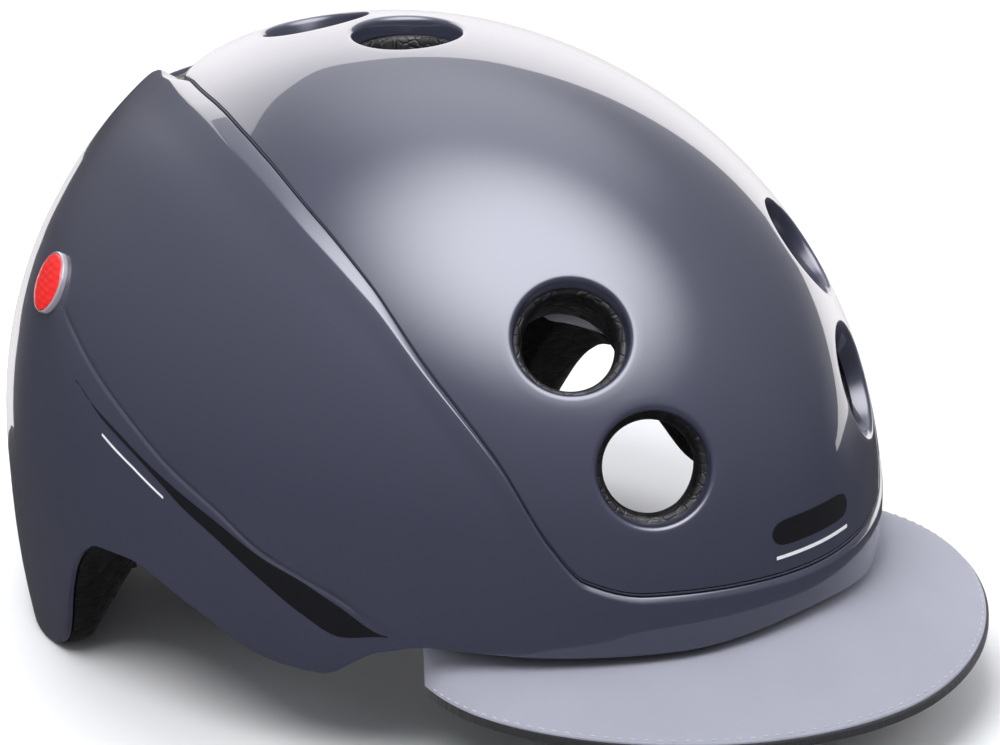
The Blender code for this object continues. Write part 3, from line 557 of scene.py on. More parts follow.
def woven_finish(name, colour, pitch, depth, sheen=0.3, roughness=0.85):
    """Plain weave of threads at this pitch, along two directions."""
    f = Finish(name, colour, roughness, Sheen_Weight=sheen, Sheen_Roughness=0.4)
    place = f.place()
    waves = []
    for axis in ("X", "Y"):
        wave = f.node("ShaderNodeTexWave", bands_direction=axis, Scale=0.5 / pitch,
                      Distortion=0.6, Detail=1.0)
        f.link(place, wave.inputs["Vector"])
        waves.append(wave.outputs["Fac"])
    both = f.node("ShaderNodeMath", operation="MULTIPLY")
    f.link(waves[0], both.inputs[0])
    f.link(waves[1], both.inputs[1])
    f.bump(both.outputs["Value"], depth, 0.8)
    f.bump(f.noise(pitch * 3, 4.0), depth, 0.3)
    f.vary_colour(f.noise(0.02, 4.0), scaled(colour, 0.93), scaled(colour, 1.05))
    f.vary_roughness(f.noise(0.004, 2.0), roughness - 0.06, min(1.0, roughness + 0.06))
    return f.made


CHEVRON = 3 * MM
RIB_PITCH = 1.1 * MM


def webbing_finish():
    """Flat webbing: ribs across and a chevron along, in the strap's own coordinates."""
    colour = (0.022, 0.022, 0.025)
    f = Finish("strap_webbing", colour, 0.7, Sheen_Weight=0.25, Sheen_Roughness=0.35)
    split = f.node("ShaderNodeSeparateXYZ")
    f.link(f.place("UV"), split.inputs["Vector"])
    fold = f.node("ShaderNodeMath", operation="PINGPONG")
    fold.inputs[1].default_value = CHEVRON
    f.link(split.outputs["X"], fold.inputs[0])
    tilt = f.node("ShaderNodeMath", operation="ADD")
    f.link(fold.outputs["Value"], tilt.inputs[0])
    f.link(split.outputs["Y"], tilt.inputs[1])
    wave = f.node("ShaderNodeMath", operation="MULTIPLY")
    wave.inputs[1].default_value = 2 * pi / RIB_PITCH
    f.link(tilt.outputs["Value"], wave.inputs[0])
    ribs = f.node("ShaderNodeMath", operation="SINE")
    f.link(wave.outputs["Value"], ribs.inputs[0])
    f.bump(ribs.outputs["Value"], 0.00012, 0.8)
    # Colour follows the ribs' height: painted highlight on their crests, painted shade in their
    # troughs.
    f.vary_colour(f.spread(ribs.outputs["Value"], 0.2, 0.9), scaled(colour, 0.7), scaled(colour, 1.5))
    f.vary_roughness(f.noise(0.002, 2.0), 0.6, 0.8)
    return f.made


def moulded_finish(name, colour, low, high, grain=0.0005, depth=0.00002, **sockets):
    f = Finish(name, colour, (low + high) / 2, **sockets)
    f.vary_roughness(f.noise(0.006, 4.0), low, high)
    f.bump(f.noise(grain, 3.0), depth, 0.6)
    f.vary_colour(f.noise(0.02, 3.0), scaled(colour, 0.9), scaled(colour, 1.1))
    return f.made


def reflector_finish():
    # The lens's emission is a painted glow: it shines red though it is no lamp.
    f = Finish("reflector_lens_painted_glow", (0.86, 0.012, 0.010), 0.22, Coat_Weight=0.3, Coat_Roughness=0.05,
               Emission_Color=(0.9, 0.02, 0.012, 1), Emission_Strength=0.12)
    cells = f.node("ShaderNodeTexVoronoi", distance="MANHATTAN", Scale=1 / 0.0016,
                   Randomness=0.0)
    f.link(f.place(), cells.inputs["Vector"])
    f.bump(cells.outputs["Distance"], 0.0002, 0.5)
    # Colour by distance in each prism cell is painted light and shade: a painted highlight in each
    # facet's middle, painted shade at its edges.
    f.vary_colour(cells.outputs["Distance"], (0.95, 0.03, 0.02), (0.72, 0.008, 0.008))
    f.vary_roughness(f.noise(0.003), 0.18, 0.3)
    return f.made


def floor_finish():
    f = Finish("studio_floor", (0.86, 0.86, 0.87), 0.7)
    f.vary_colour(f.noise(0.4, 2.0), (0.855, 0.855, 0.865), (0.865, 0.865, 0.875))
    return f.made


FINISH = {
    "shell": shell_finish(),
    "foam": foam_finish(),
    "peak_top": woven_finish("peak_fabric", (0.34, 0.345, 0.41), 0.00045, 0.00004, sheen=0.2),
    "peak_under": woven_finish("peak_underside", (0.016, 0.016, 0.018), 0.0009, 0.0001, 0.15),
    "thread_light": moulded_finish("light_thread", (0.55, 0.55, 0.58), 0.6, 0.8),
    "thread_dark": moulded_finish("dark_thread", (0.035, 0.035, 0.04), 0.5, 0.7),
    "knit_dark": woven_finish("dark_knit", (0.035, 0.035, 0.040), 0.0010, 0.00014, 0.5, 0.9),
    # The near-white side pad knit is painted light: it stands in for the bright backdrop seen through
    # the vents.
    "knit_painted_light": woven_finish("pale_knit_painted_light", (0.60, 0.60, 0.64), 0.0010, 0.00014, 0.3, 0.9),
    "webbing": webbing_finish(),
    "plastic": moulded_finish("black_nylon", (0.018, 0.018, 0.020), 0.34, 0.5),
    "rubber": moulded_finish("soft_grip", (0.022, 0.022, 0.024), 0.6, 0.78, 0.0008, 0.00006),
    "magnet": moulded_finish("plated_magnet", (0.60, 0.60, 0.62), 0.12, 0.3, Metallic=1.0),
    "lens": reflector_finish(),
    "bezel": moulded_finish("pale_bezel", (0.36, 0.34, 0.38), 0.2, 0.35, Coat_Weight=0.5),
    "ink_black": moulded_finish("black_graphic", (0.006, 0.006, 0.008), 0.2, 0.3,
                                Coat_Weight=0.6, Coat_Roughness=0.05),
    "ink_white": moulded_finish("white_graphic", (0.80, 0.80, 0.82), 0.25, 0.4),
}

# ---------------------------------------------------------------- dome shell


def fine_azimuths():
    """Columns round the helmet, closer together where the shell's edges turn sharply."""
    half = [0.0]
    while half[-1] < 180:
        a = half[-1]
        near = 22 <= a < 60 or 98 <= a < 128 or 154 <= a < 177
        half.append(a + (0.6 if near else 1.3))
    half = half[:-1]
    if 180 - half[-1] < 0.4:
        half.pop()
    return np.array(half + [180.0] + [-a for a in half[:0:-1]])


AZIMUTHS = fine_azimuths()


def to_chart(azimuth, polar):
    a = np.radians(azimuth)
    return np.stack([polar * np.sin(a), -polar * np.cos(a)], axis=-1)


def from_chart(uv):
    return np.degrees(np.arctan2(uv[..., 0], -uv[..., 1])), np.hypot(uv[..., 0], uv[..., 1])


def hole_ring(centre, axis, r, lift=0.0, depth=0.0):
    """Ring round a vent's axis: on the dome's surface at this radius, then sunk by depth."""
    across, other, along = basis(axis)
    turn = np.linspace(0, 2 * pi, VENT_SIDES, endpoint=False)[:, None]
    base = centre + (across * np.cos(turn) + other * np.sin(turn)) * r
    low = np.full(VENT_SIDES, -0.03)
    high = np.full(VENT_SIDES, 0.03)
    for _ in range(40):
        middle = (low + high) / 2
        q = base + along * middle[:, None]
        size = np.linalg.norm(q, axis=-1)
        inside = size < reach(q / size[:, None], OUTER) + lift
        low = np.where(inside, middle, low)
        high = np.where(inside, high, middle)
    return CENTRE + base + along * (high - depth)[:, None]


def dome_grid(fixed):
    """Chart points in a triangular grid over the dome, clear of the fixed border points."""
    extra = []
    for k, y in enumerate(np.arange(-DOME_SPAN, DOME_SPAN, DOME_GRID * 0.866)):
        for x in np.arange(-DOME_SPAN, DOME_SPAN, DOME_GRID):
            extra.append((x + (k % 2) * DOME_GRID / 2, y))
    extra = np.array(extra)
    azimuth, polar = from_chart(extra)
    extra = extra[polar < seam(azimuth) - DOME_BORDER]
    for start in range(0, len(fixed), 64):
        gap = np.linalg.norm(extra[:, None] - fixed[None, start:start + 64], axis=-1).min(axis=1)
        extra = extra[gap > 0.62 * DOME_GRID]
    for centre, axis in vents():
        extra = extra[vent_distance(extra, centre, axis) > VENT_LIP_START]
    return extra


def build_dome():
    edge = seam(AZIMUTHS)
    border = to_chart(AZIMUTHS, edge - DOME_BORDER)
    loops = [border]
    rings = []
    for centre, axis in vents():
        ring = hole_ring(centre, axis, VENT_LIP_START)
        rings.append(ring)
        q = ring - CENTRE
        r = np.linalg.norm(q, axis=-1)
        polar = np.degrees(np.arccos(q[:, 2] / r))
        azimuth = np.degrees(np.arctan2(q[:, 0], -q[:, 1]))
        loops.append(to_chart(azimuth, polar))
    fixed = np.concatenate(loops)
    points = np.concatenate([fixed, dome_grid(fixed)])
    edges = []
    start = 0
    for loop in loops:
        edges += [(start + i, start + (i + 1) % len(loop)) for i in range(len(loop))]
        start += len(loop)
    result = geometry.delaunay_2d_cdt([Vector(p) for p in points], edges, [], 0, 1e-6)
    flat = np.array([tuple(v) for v in result[0]])
    azimuth, polar = from_chart(flat)
    middles = flat[np.array(result[2])].mean(axis=1)
    mid_azimuth, mid_polar = from_chart(middles)
    good = mid_polar < seam(mid_azimuth) - DOME_BORDER + 0.01
    for centre, axis in vents():
        good &= vent_distance(middles, centre, axis) > VENT_LIP_START * 0.985
    faces = [f for f, ok in zip(result[2], good) if ok]
    source = {tuple(o)[0] if len(o) else -1: i for i, o in enumerate(result[3])}
    outer = on_body(azimuth, polar)
    inner = on_body(azimuth, polar, -SHELL)
    count = len(flat)
    vertices = [outer, inner]
    faces += [tuple(count + i for i in f[::-1]) for f in faces]
    total = 2 * count

    def stitch(loop, rows):
        """Join outer loop, extra rows and inner loop; loop holds vertex indices."""
        nonlocal total
        n = len(loop)
        previous = loop
        for row in rows:
            vertices.append(row)
            current = list(range(total, total + n))
            total += n
            quads(previous, current)
            previous = current
        quads(previous, [count + i for i in loop])

    def quads(first, second):
        n = len(first)
        for i in range(n):
            j = (i + 1) % n
            faces.append((first[i], first[j], second[j], second[i]))

    start = len(border)
    near = edge - DOME_BORDER
    rim = rounded([on_body(AZIMUTHS, near), on_body(AZIMUTHS, edge),
                   on_body(AZIMUTHS, edge, -SHELL), on_body(AZIMUTHS, near, -SHELL)],
                  [0.5 * MM, 0.3 * MM])
    stitch([source[i] for i in range(start)], rim[1:-1])
    for (centre, axis), ring in zip(vents(), rings):
        lip = [hole_ring(centre, axis, r * MM, depth=depth * MM) for r, depth in VENT_LIP]
        back = hole_ring(centre, axis, VENT_LIP_START, lift=-SHELL)
        lip = rounded([ring] + lip + [back], VENT_LIP_ROUNDING, steps=8)
        stitch([source[start + i] for i in range(len(ring))], lip[1:-1])
        start += len(ring)
    vertices = np.concatenate(vertices)
    normals = np.full((len(vertices), 3), np.nan)
    normals[:count] = outward(outer)
    normals[count:2 * count] = -outward(inner)
    return piece("dome", vertices, faces, FINISH["shell"], stands_for=("dome_shell",),
                 normals=normals)


def vent_distance(flat, centre, axis):
    """Distance of chart points, taken on the dome's surface, from a vent's axis."""
    azimuth, polar = from_chart(flat)
    q = on_body(azimuth, polar) - CENTRE - centre
    along = (q @ axis)
    far = np.linalg.norm(q - along[:, None] * axis, axis=-1)
    return np.where(np.abs(along) < 0.03, far, 1.0)


# ---------------------------------------------------------------- lower shell


def panel_rows(azimuth):
    """Polar angles of the panel's rows, with rows gathered on the moulded crease."""
    edge = seam(azimuth)
    width = smooth(SHOULDER, np.abs(azimuth))
    hood = hood_share(azimuth)
    first = (edge + width + 1.0) * (1 - hood) + (lower_edge(azimuth) + 1.4) * hood
    last = rim_polar(azimuth) - 0.5
    share = np.clip((crease_polar(azimuth) - first) / (last - first), 0.3, 0.86)
    middle = first + (last - first) * share
    half = np.minimum(2.2, 0.45 * np.minimum(middle - first, last - middle))
    rows = [first + (middle - half - first) * t for t in np.linspace(0, 1, 30)[:-1]]
    rows += [middle + half * t for t in np.linspace(-1, 1, 31)]
    rows += [middle + half + (last - middle - half) * t for t in np.linspace(0, 1, 18)[1:]]
    return rows


def blend_points(first, second, share):
    return first * (1 - share)[:, None] + second * share[:, None]


def build_lower_shell():
    a = AZIMUTHS
    edge = seam(a)
    width = smooth(SHOULDER, np.abs(a))
    hood = hood_share(a)
    arris = edge + width
    top = lower_edge(a) - 0.2
    plain = [on_body(a, edge + 0.12, -SHELL - 0.1 * MM),
             on_body(a, edge + 0.12, 0.10 * MM),
             on_body(a, arris, panel_lift(a, arris))]
    lip = flare(a, top)
    free = [on_body(a, top + 1.6, lip - SHELL - 0.9 * MM),
            on_body(a, top, lip - SHELL - 0.9 * MM),
            on_body(a, top, lip)]
    start = [blend_points(p, f, hood) for p, f in zip(plain, free)]
    rows = panel_rows(a)
    panel = [on_body(a, p, panel_lift(a, p)) for p in rows]
    bulge = 0.5 * (start[1] + start[2]) + outward(start[2]) * (0.05 * MM)
    bulge = blend_points(bulge, 0.5 * (start[1] + start[2]), hood)
    head = rounded([start[0], start[1], bulge, start[2], panel[0]],
                   [0.3 * MM, 1.2 * MM, 0.5 * MM], steps=5)
    pr = rim_polar(a)
    level = (CENTRE[2] + rim_height(a) + GAP)
    outer_foot = on_body(a, pr, panel_lift(a, pr))
    outer_foot[:, 2] = level
    inner_foot = on_body(a, pr, flare(a, pr) - SHELL)
    inner_foot[:, 2] = level
    inner_rows = [on_body(a, p, flare(a, p) - SHELL) for p in rows[::-6]]
    foot = rounded([panel[-1], outer_foot, inner_foot, inner_rows[0]], [0.45 * MM, 0.3 * MM],
                   steps=5)
    rings = head[:-1] + panel + foot[1:-1] + inner_rows
    vertices, faces = tube(rings, closed_rows=True)
    return piece("lower", vertices, faces, FINISH["shell"], sharp=60,
                 stands_for=("lower_shell",))


# ---------------------------------------------------------------- graphics and trim


def film(name, azimuths, top, foot, rows, finish, rise, under=panel_lift):
    """Thin print between two curves of polar angle, on a shell that stands this far out."""
    outside, inside = [], []
    for t in np.linspace(0, 1, rows):
        p = top + (foot - top) * t
        base = under(azimuths, p)
        outside.append(on_body(azimuths, p, base + rise))
        inside.append(on_body(azimuths, p, base - 0.05 * MM))
    rings = np.array(outside + inside[::-1]).transpose(1, 0, 2)
    vertices, faces = tube(list(rings))
    return piece(name, vertices, faces, finish, sharp=50)


def on_dome(azimuth, polar):
    return 0 * azimuth


def build_graphics():
    for side, sign in (("left", 1), ("right", -1)):
        a = np.linspace(BAND_TOP[0][0], BAND_TOP[-1][0], 90)
        film(f"rear_band_{side}", sign * a, smooth(BAND_TOP, a), smooth(BAND_FOOT, a), 14,
             FINISH["ink_black"], PANEL_PRINT)
        a = np.linspace(WHITE_LINE[0][0], WHITE_LINE[-1][0], 30)
        middle = np.interp(a, *np.array(WHITE_LINE).T)
        half = degrees(WHITE_LINE_WIDTH / 2 / OUTER["side"])
        film(f"rear_line_{side}", sign * a, middle - half, middle + half, 3,
             FINISH["ink_white"], PANEL_PRINT)
    a = np.linspace(-MARK_HALF_WIDTH, MARK_HALF_WIDTH, 40)
    corner = 1 - np.abs(a / MARK_HALF_WIDTH) ** 8
    middle = (MARK_ROWS[0] + MARK_ROWS[1]) / 2
    half = (MARK_ROWS[1] - MARK_ROWS[0]) / 2 * np.sqrt(np.maximum(corner, 0.02))
    film("front_bar", a, middle - half, middle + half, 6, FINISH["ink_black"], DOME_PRINT,
         on_dome)
    film("front_line", a * 0.94, MARK_LINE_ROWS[0] + 0 * a, MARK_LINE_ROWS[1] + 0 * a, 3,
         FINISH["ink_white"], DOME_PRINT, on_dome)


# ---------------------------------------------------------------- foam liner


FOOT_BAND = 6.0 * MM


def liner_foot(azimuth):
    a = np.abs(azimuth)
    bevel = smooth([(78, 0.0), (92, 0.010), (108, 0.015), (125, 0.019), (152, 0.018),
                    (166, 0.004), (180, 0.0)], a)
    return polar_at_height(a, rim_height(a) + bevel, CAVITY)


def add_cutter(bm, data):
    vertices, faces = data
    made = [bm.verts.new(tuple(v)) for v in vertices]
    for f in faces:
        bm.faces.new([made[i] for i in f])


def channel(points, r):
    """Round-ended groove cutter along points just inside the cavity wall."""
    sides = 20
    rows = []
    for i, p in enumerate(points):
        ahead = points[min(i + 1, len(points) - 1)] - points[max(i - 1, 0)]
        across, other, _ = basis(ahead)
        end = min(i, len(points) - 1 - i)
        size = r * (0.35, 0.8, 1.0)[min(end, 2)]
        turn = np.linspace(0, 2 * pi, sides, endpoint=False)[:, None]
        rows.append(np.array(p) + (across * np.cos(turn) + other * np.sin(turn)) * size)
    reference = None
    aligned = []
    for row in rows:
        if reference is not None:
            shifts = [np.linalg.norm(np.roll(row, -k, axis=0) - reference) for k in range(sides)]
            flipped = [np.linalg.norm(np.roll(row[::-1], -k, axis=0) - reference)
                       for k in range(sides)]
            if min(flipped) < min(shifts):
                row = np.roll(row[::-1], -int(np.argmin(flipped)), axis=0)
            else:
                row = np.roll(row, -int(np.argmin(shifts)), axis=0)
        aligned.append(row)
        reference = row
    return tube(aligned)


# rear ports in the foam: middle one from the dome's centre, spacing, slope, half sizes
PORT_Y = 0.069
PORT_Z = 0.090
PORT_SPACING = 0.020
PORT_SLOPE = -30          # degrees
PORT_HALF_WIDTH = 0.0075
PORT_HALF_HEIGHT = 0.0065
STUD_HOLE = 4.6 * MM
# air channels along the inside of the crown: spacing, radius and the line they follow
CHANNEL_SPACING = 0.016
CHANNEL_RADIUS = 5.2 * MM
CHANNEL_LINE = ((-0.072, 0.060), (-0.050, 0.077), (-0.02, 0.09), (0.012, 0.093),
                (0.04, 0.088), (0.062, 0.078))


def build_liner():
    a = np.linspace(-180, 180, 241)[:-1]
    under = -SHELL - GAP
    edge = dome_edge(a)
    top = lower_edge(a)
    foot = rim_polar(a)
    outside = [on_body(a, edge * t, under) for t in np.linspace(0.03, 1, 30)]
    lower = [on_body(a, top + (foot - top) * t,
                     flare(a, top + (foot - top) * t) + under - 0.4 * MM)
             for t in np.linspace(0, 1, 26)]
    level = CENTRE[2] + rim_height(a)
    lower[-1][:, 2] = level
    inner_edge = liner_foot(a)
    inside = [on_body(a, inner_edge * t, 0.0, CAVITY) for t in np.linspace(0.03, 1, 44)]
    inward = inside[-1] - lower[-1]
    inward[:, 2] = 0
    inward /= np.linalg.norm(inward, axis=1)[:, None]
    band = lower[-1] + inward * FOOT_BAND
    turn = rounded([lower[-2], lower[-1], band, inside[-1], inside[-2]],
                   [1.2 * MM, 2.0 * MM, 3.5 * MM], steps=5)
    rings = outside + lower[:-1] + turn[1:-1] + inside[-2::-1]
    vertices, faces = tube(rings)
    mesh = bpy.data.meshes.new("liner")
    mesh.from_pydata([tuple(v) for v in vertices], [], faces)
    mesh.materials.append(FINISH["foam"])
    liner = bpy.data.objects.new("liner", mesh)
    bpy.context.scene.collection.objects.link(liner)
    fix_normals(mesh)

    bm = bmesh.new()
    for centre, axis in vents():
        add_cutter(bm, turned(VENT_BORE, CENTRE + centre, axis, sides=64,
                              radii=VENT_BORE_ROUNDING))
    tilt = Matrix.Rotation(radians(PORT_SLOPE), 3, "X")
    for n in (-1, 0, 1):
        middle = Vector(CENTRE) + Vector((n * PORT_SPACING, PORT_Y, PORT_Z))
        rows = []
        for z in np.linspace(-0.030, 0.030, 7):
            row = []
            for turn_angle in np.linspace(0, 2 * pi, 36, endpoint=False):
                c, s = cos(turn_angle), sin(turn_angle)
                x = PORT_HALF_WIDTH * abs(c) ** 0.5 * (1 if c > 0 else -1)
                y = PORT_HALF_HEIGHT * abs(s) ** 0.5 * (1 if s > 0 else -1)
                row.append(tuple(middle + tilt @ Vector((x, y, z))))
            rows.append(np.array(row))
        add_cutter(bm, tube(rows))
    for side, azimuth in STUD_AZIMUTHS:
        add_cutter(bm, turned([(-0.004, STUD_HOLE), (0.0085, STUD_HOLE)], stud_seat(azimuth),
                              (0, 0, 1), sides=32))
    for lane in (-1, 0, 1):
        path = [(lane * CHANNEL_SPACING, y, z) for y, z in CHANNEL_LINE]
        run = []
        for p in spline(path, 26):
            d = np.array(p) / np.linalg.norm(p)
            run.append(Vector(CENTRE + d * (reach(d, CAVITY) - 1.0 * MM)))
        add_cutter(bm, channel(run, CHANNEL_RADIUS))
    cutter_mesh = bpy.data.meshes.new("liner_cutter")
    bmesh.ops.recalc_face_normals(bm, faces=bm.faces)
    bm.to_mesh(cutter_mesh)
    bm.free()
    cutter = bpy.data.objects.new("liner_cutter", cutter_mesh)
    bpy.context.scene.collection.objects.link(cutter)
    cut = liner.modifiers.new("holes", "BOOLEAN")
    cut.operation = "DIFFERENCE"
    cut.solver = "EXACT"
    cut.use_self = True
    cut.object = cutter
    graph = bpy.context.evaluated_depsgraph_get()
    done = bpy.data.meshes.new_from_object(liner.evaluated_get(graph))
    liner.modifiers.clear()
    liner.data = done
    done.materials.clear()
    done.materials.append(FINISH["foam"])
    bpy.data.objects.remove(cutter)
    done.shade_smooth()
    done.set_sharp_from_angle(angle=radians(38))
    return adopt(liner, "helmet", ("foam_liner",))


def fix_normals(mesh):
    bm = bmesh.new()
    bm.from_mesh(mesh)
    bmesh.ops.recalc_face_normals(bm, faces=bm.faces)
    bm.to_mesh(mesh)
    bm.free()


# ---------------------------------------------------------------- peak

PEAK_HALF_WIDTH = 0.0858
PEAK_CENTRE_Y = -0.1050
PEAK_REACH = 0.0765
PEAK_POWER = 1.86
PEAK_TIP_Z = -0.0277
PEAK_SIDE_Z = -0.0235
PEAK_SWEEP = radians(110)
PEAK_THICKNESS = 0.0030
PEAK_TUCK = 0.014


def stud_seat(azimuth):
    a = np.array([float(azimuth)])
    rim = on_body(a, rim_polar(a))[0]
    inward = Vector((CENTRE[0] - rim[0], CENTRE[1] - rim[1], 0)).normalized()
    seat = Vector(rim) + inward * 0.0088
    seat.z = CENTRE[2] + rim_height(a)[0] - 0.0011
    return np.array(seat)


def signed_power(value, power):
    return np.sign(value) * np.abs(value) ** power


def peak_point(angle, t):
    """Point on the peak's top face; t runs from its root under the brow to its edge."""
    x = PEAK_HALF_WIDTH * signed_power(np.sin(angle), 2 / PEAK_POWER)
    y = PEAK_CENTRE_Y - PEAK_REACH * signed_power(np.cos(angle), 2 / PEAK_POWER)
    side = (x / PEAK_HALF_WIDTH) ** 2
    edge = np.stack([x, y, PEAK_TIP_Z + (PEAK_SIDE_Z - PEAK_TIP_Z) * side], axis=-1)
    azimuth = np.degrees(np.arctan2(x, -y))
    rim = on_body(azimuth, rim_polar(azimuth)) - CENTRE
    flat = rim * (1, 1, 0)
    flat /= np.linalg.norm(flat, axis=-1)[..., None]
    root = rim - flat * PEAK_TUCK
    root[..., 2] = rim_height(azimuth) - 0.0012
    p = root + (edge - root) * np.asarray(t)[..., None]
    p[..., 2] += 0.0035 * np.sin(pi * t) * np.maximum(0.0, np.cos(angle))
    return CENTRE + p


PEAK_DEPTH_MM = 70.0                     # from root to edge, roughly
PEAK_EDGE = 1 - 1.1 / PEAK_DEPTH_MM      # where the cover ends, as a share of that
STITCH_LINE = 1 - 2.6 / PEAK_DEPTH_MM
STUD = [(GAP, 3.9 * MM), (2.2 * MM, 3.9 * MM), (3.0 * MM, 3.1 * MM),
        (5.5 * MM, 3.1 * MM), (6.3 * MM, 3.9 * MM), (7.4 * MM, 3.3 * MM)]
STUD_AZIMUTHS = (("center", 0), ("left", 34), ("right", -34))


def build_peak():
    count = 150
    angles = np.linspace(-PEAK_SWEEP, PEAK_SWEEP, count)

    def row(t, drop):
        p = peak_point(angles, np.full(count, float(t)))
        p[:, 2] -= drop
        return p

    edge = PEAK_EDGE
    top = [row(t, 0.0) for t in np.linspace(0, edge, 30)]
    cover_top = rounded([top[-2], top[-1], row(edge, 0.9 * MM)], [0.6 * MM], steps=5)[1:]
    cover_under = [row(t, 0.9 * MM) for t in np.linspace(edge, 0, 8)[1:]]
    rings = np.array(top[:-1] + cover_top + cover_under).transpose(1, 0, 2)
    vertices, faces = tube(list(rings))
    piece("peak_cover", vertices, faces, FINISH["peak_top"], "peak",
          stands_for=("peak",), sharp=50)

    upper = [row(t, 0.92 * MM) for t in np.linspace(0, edge - 0.02, 8)]
    rim = rounded([upper[-1], row(edge + 0.001, 0.92 * MM), row(edge + 0.001, 0.5 * MM),
                   row(1.0, 0.5 * MM), row(1.0, PEAK_THICKNESS), row(0.95, PEAK_THICKNESS)],
                  [0, 0.2 * MM, 0.7 * MM, 0.9 * MM], steps=5)
    lower = [row(t, PEAK_THICKNESS) for t in np.linspace(0.95, 0, 12)]
    rings = np.array(upper[:-1] + rim[:-1] + lower).transpose(1, 0, 2)
    vertices, faces = tube(list(rings))
    piece("peak_base", vertices, faces, FINISH["peak_under"], "peak", sharp=50)

    build_stitches()
    for side, azimuth in STUD_AZIMUTHS:
        vertices, faces = turned(STUD, stud_seat(azimuth), (0, 0, 1), 40, [0.4 * MM] * 4)
        piece(f"stud_{side}", vertices, faces, FINISH["plastic"], "peak",
              (f"peak_stud_{side}",))


def build_stitches():
    """A row of thread stitches just inside the peak's edge, above and below."""
    fine = np.linspace(-PEAK_SWEEP * 0.985, PEAK_SWEEP * 0.985, 900)
    for name, drop, finish in (("peak_stitches", -0.12 * MM, "thread_light"),
                               ("peak_stitches_under", PEAK_THICKNESS + 0.1 * MM, "thread_dark")):
        path = peak_point(fine, np.full(900, STITCH_LINE))
        path[:, 2] -= drop
        run = np.concatenate([[0], np.cumsum(np.linalg.norm(np.diff(path, axis=0), axis=1))])
        pitch, length, r = 3.4 * MM, 1.5 * MM, 0.19 * MM
        vertices, faces = [], []
        for start in np.arange(pitch, run[-1] - pitch, pitch):
            ends = [np.array([np.interp(start + s, run, path[:, k]) for k in range(3)])
                    for s in np.linspace(0, length, 5)]
            across, other, _ = basis(ends[-1] - ends[0])
            turn = np.linspace(0, 2 * pi, 6, endpoint=False)[:, None]
            rows = [e + (across * np.cos(turn) + other * np.sin(turn)) * r * s
                    for e, s in zip(ends, (0.35, 0.9, 1.0, 0.9, 0.35))]
            v, f = tube(rows)
            faces += [tuple(i + len(vertices) for i in face) for face in f]
            vertices += [tuple(x) for x in v]
        piece(name, vertices, faces, FINISH[finish], "peak")


# ---------------------------------------------------------------- reflectors


REFLECTOR_AZIMUTH = 123.4
REFLECTOR_POLAR = 60.0
REFLECTOR_RADIUS = 8 * MM
REFLECTOR_RISE = 0.6 * MM


def build_reflectors():
    r = REFLECTOR_RADIUS
    for side, sign in (("left", 1), ("right", -1)):
        azimuth = np.array([REFLECTOR_AZIMUTH * sign])
        polar = np.array([REFLECTOR_POLAR])
        seat = on_body(azimuth, polar, flare(azimuth, polar))[0]
        normal = (seat - CENTRE) / np.array((OUTER["side"], OUTER["back"], OUTER["up"])) ** 2
        normal /= np.linalg.norm(normal)
        seat = seat + normal * REFLECTOR_RISE
        profile = [(0.0, r), (1.2 * MM, r), (1.75 * MM, 0.72 * r), (1.95 * MM, 0.36 * r),
                   (2.0 * MM, 0.06 * r)]
        vertices, faces = turned(profile, seat, normal, 64, [0.3 * MM, 1 * MM, 1 * MM])
        piece(f"lens_{side}", vertices, faces, FINISH["lens"], "helmet",
              (f"reflector_{side}",))
        inner = r + 0.15 * MM
        outer = inner + 0.55 * MM
        profile = [(-0.9 * MM, inner), (-0.9 * MM, outer), (0.7 * MM, outer), (1.1 * MM, inner)]
        profile.append(profile[0])
        vertices, faces = turned(profile, seat, normal, 64, [0.2 * MM, 0.5 * MM, 0.25 * MM])
        ring_count = len(vertices) // 64
        vertices = vertices[:(ring_count - 1) * 64]
        faces = []
        for k in range(ring_count - 1):
            faces += loop_faces(k * 64, (k + 1) % (ring_count - 1) * 64, 64)
        piece(f"bezel_{side}", vertices, faces, FINISH["bezel"], "helmet",
              (f"reflector_bezel_{side}",))


# ---------------------------------------------------------------- pads

PAD = 0.007
PAD_INSET = 0.0014


def puff(made, pins, limit):
    """Blow a pad up with a short cloth simulation that holds its welded border still."""
    group = made.vertex_groups.new(name="border")
    group.add([int(i) for i in pins], 1.0, "ADD")
    before = np.array([v.co for v in made.data.vertices])
    cloth = made.modifiers.new("Cloth", "CLOTH")
    s = cloth.settings
    s.quality = 4
    s.mass = 0.15
    s.tension_stiffness = 12
    s.compression_stiffness = 12
    s.shear_stiffness = 4
    s.bending_stiffness = 0.4
    s.use_pressure = True
    s.uniform_pressure_force = 4
    s.vertex_group_mass = "border"
    s.pin_stiffness = 1.0
    s.effector_weights.gravity = 0
    cloth.collision_settings.use_collision = False
    cloth.point_cache.frame_start = 1
    cloth.point_cache.frame_end = 20
    scene = bpy.context.scene
    for f in range(1, 21):
        scene.frame_set(f)
    graph = bpy.context.evaluated_depsgraph_get()
    after = np.array([v.co for v in made.evaluated_get(graph).data.vertices])
    made.modifiers.remove(cloth)
    scene.frame_set(1)
    move = after - before
    size = np.linalg.norm(move, axis=1)
    move *= np.minimum(1, limit / np.maximum(size, 1e-9))[:, None]
    made.data.vertices.foreach_set("co", (before + move).astype(np.float32).ravel())
    made.data.update()


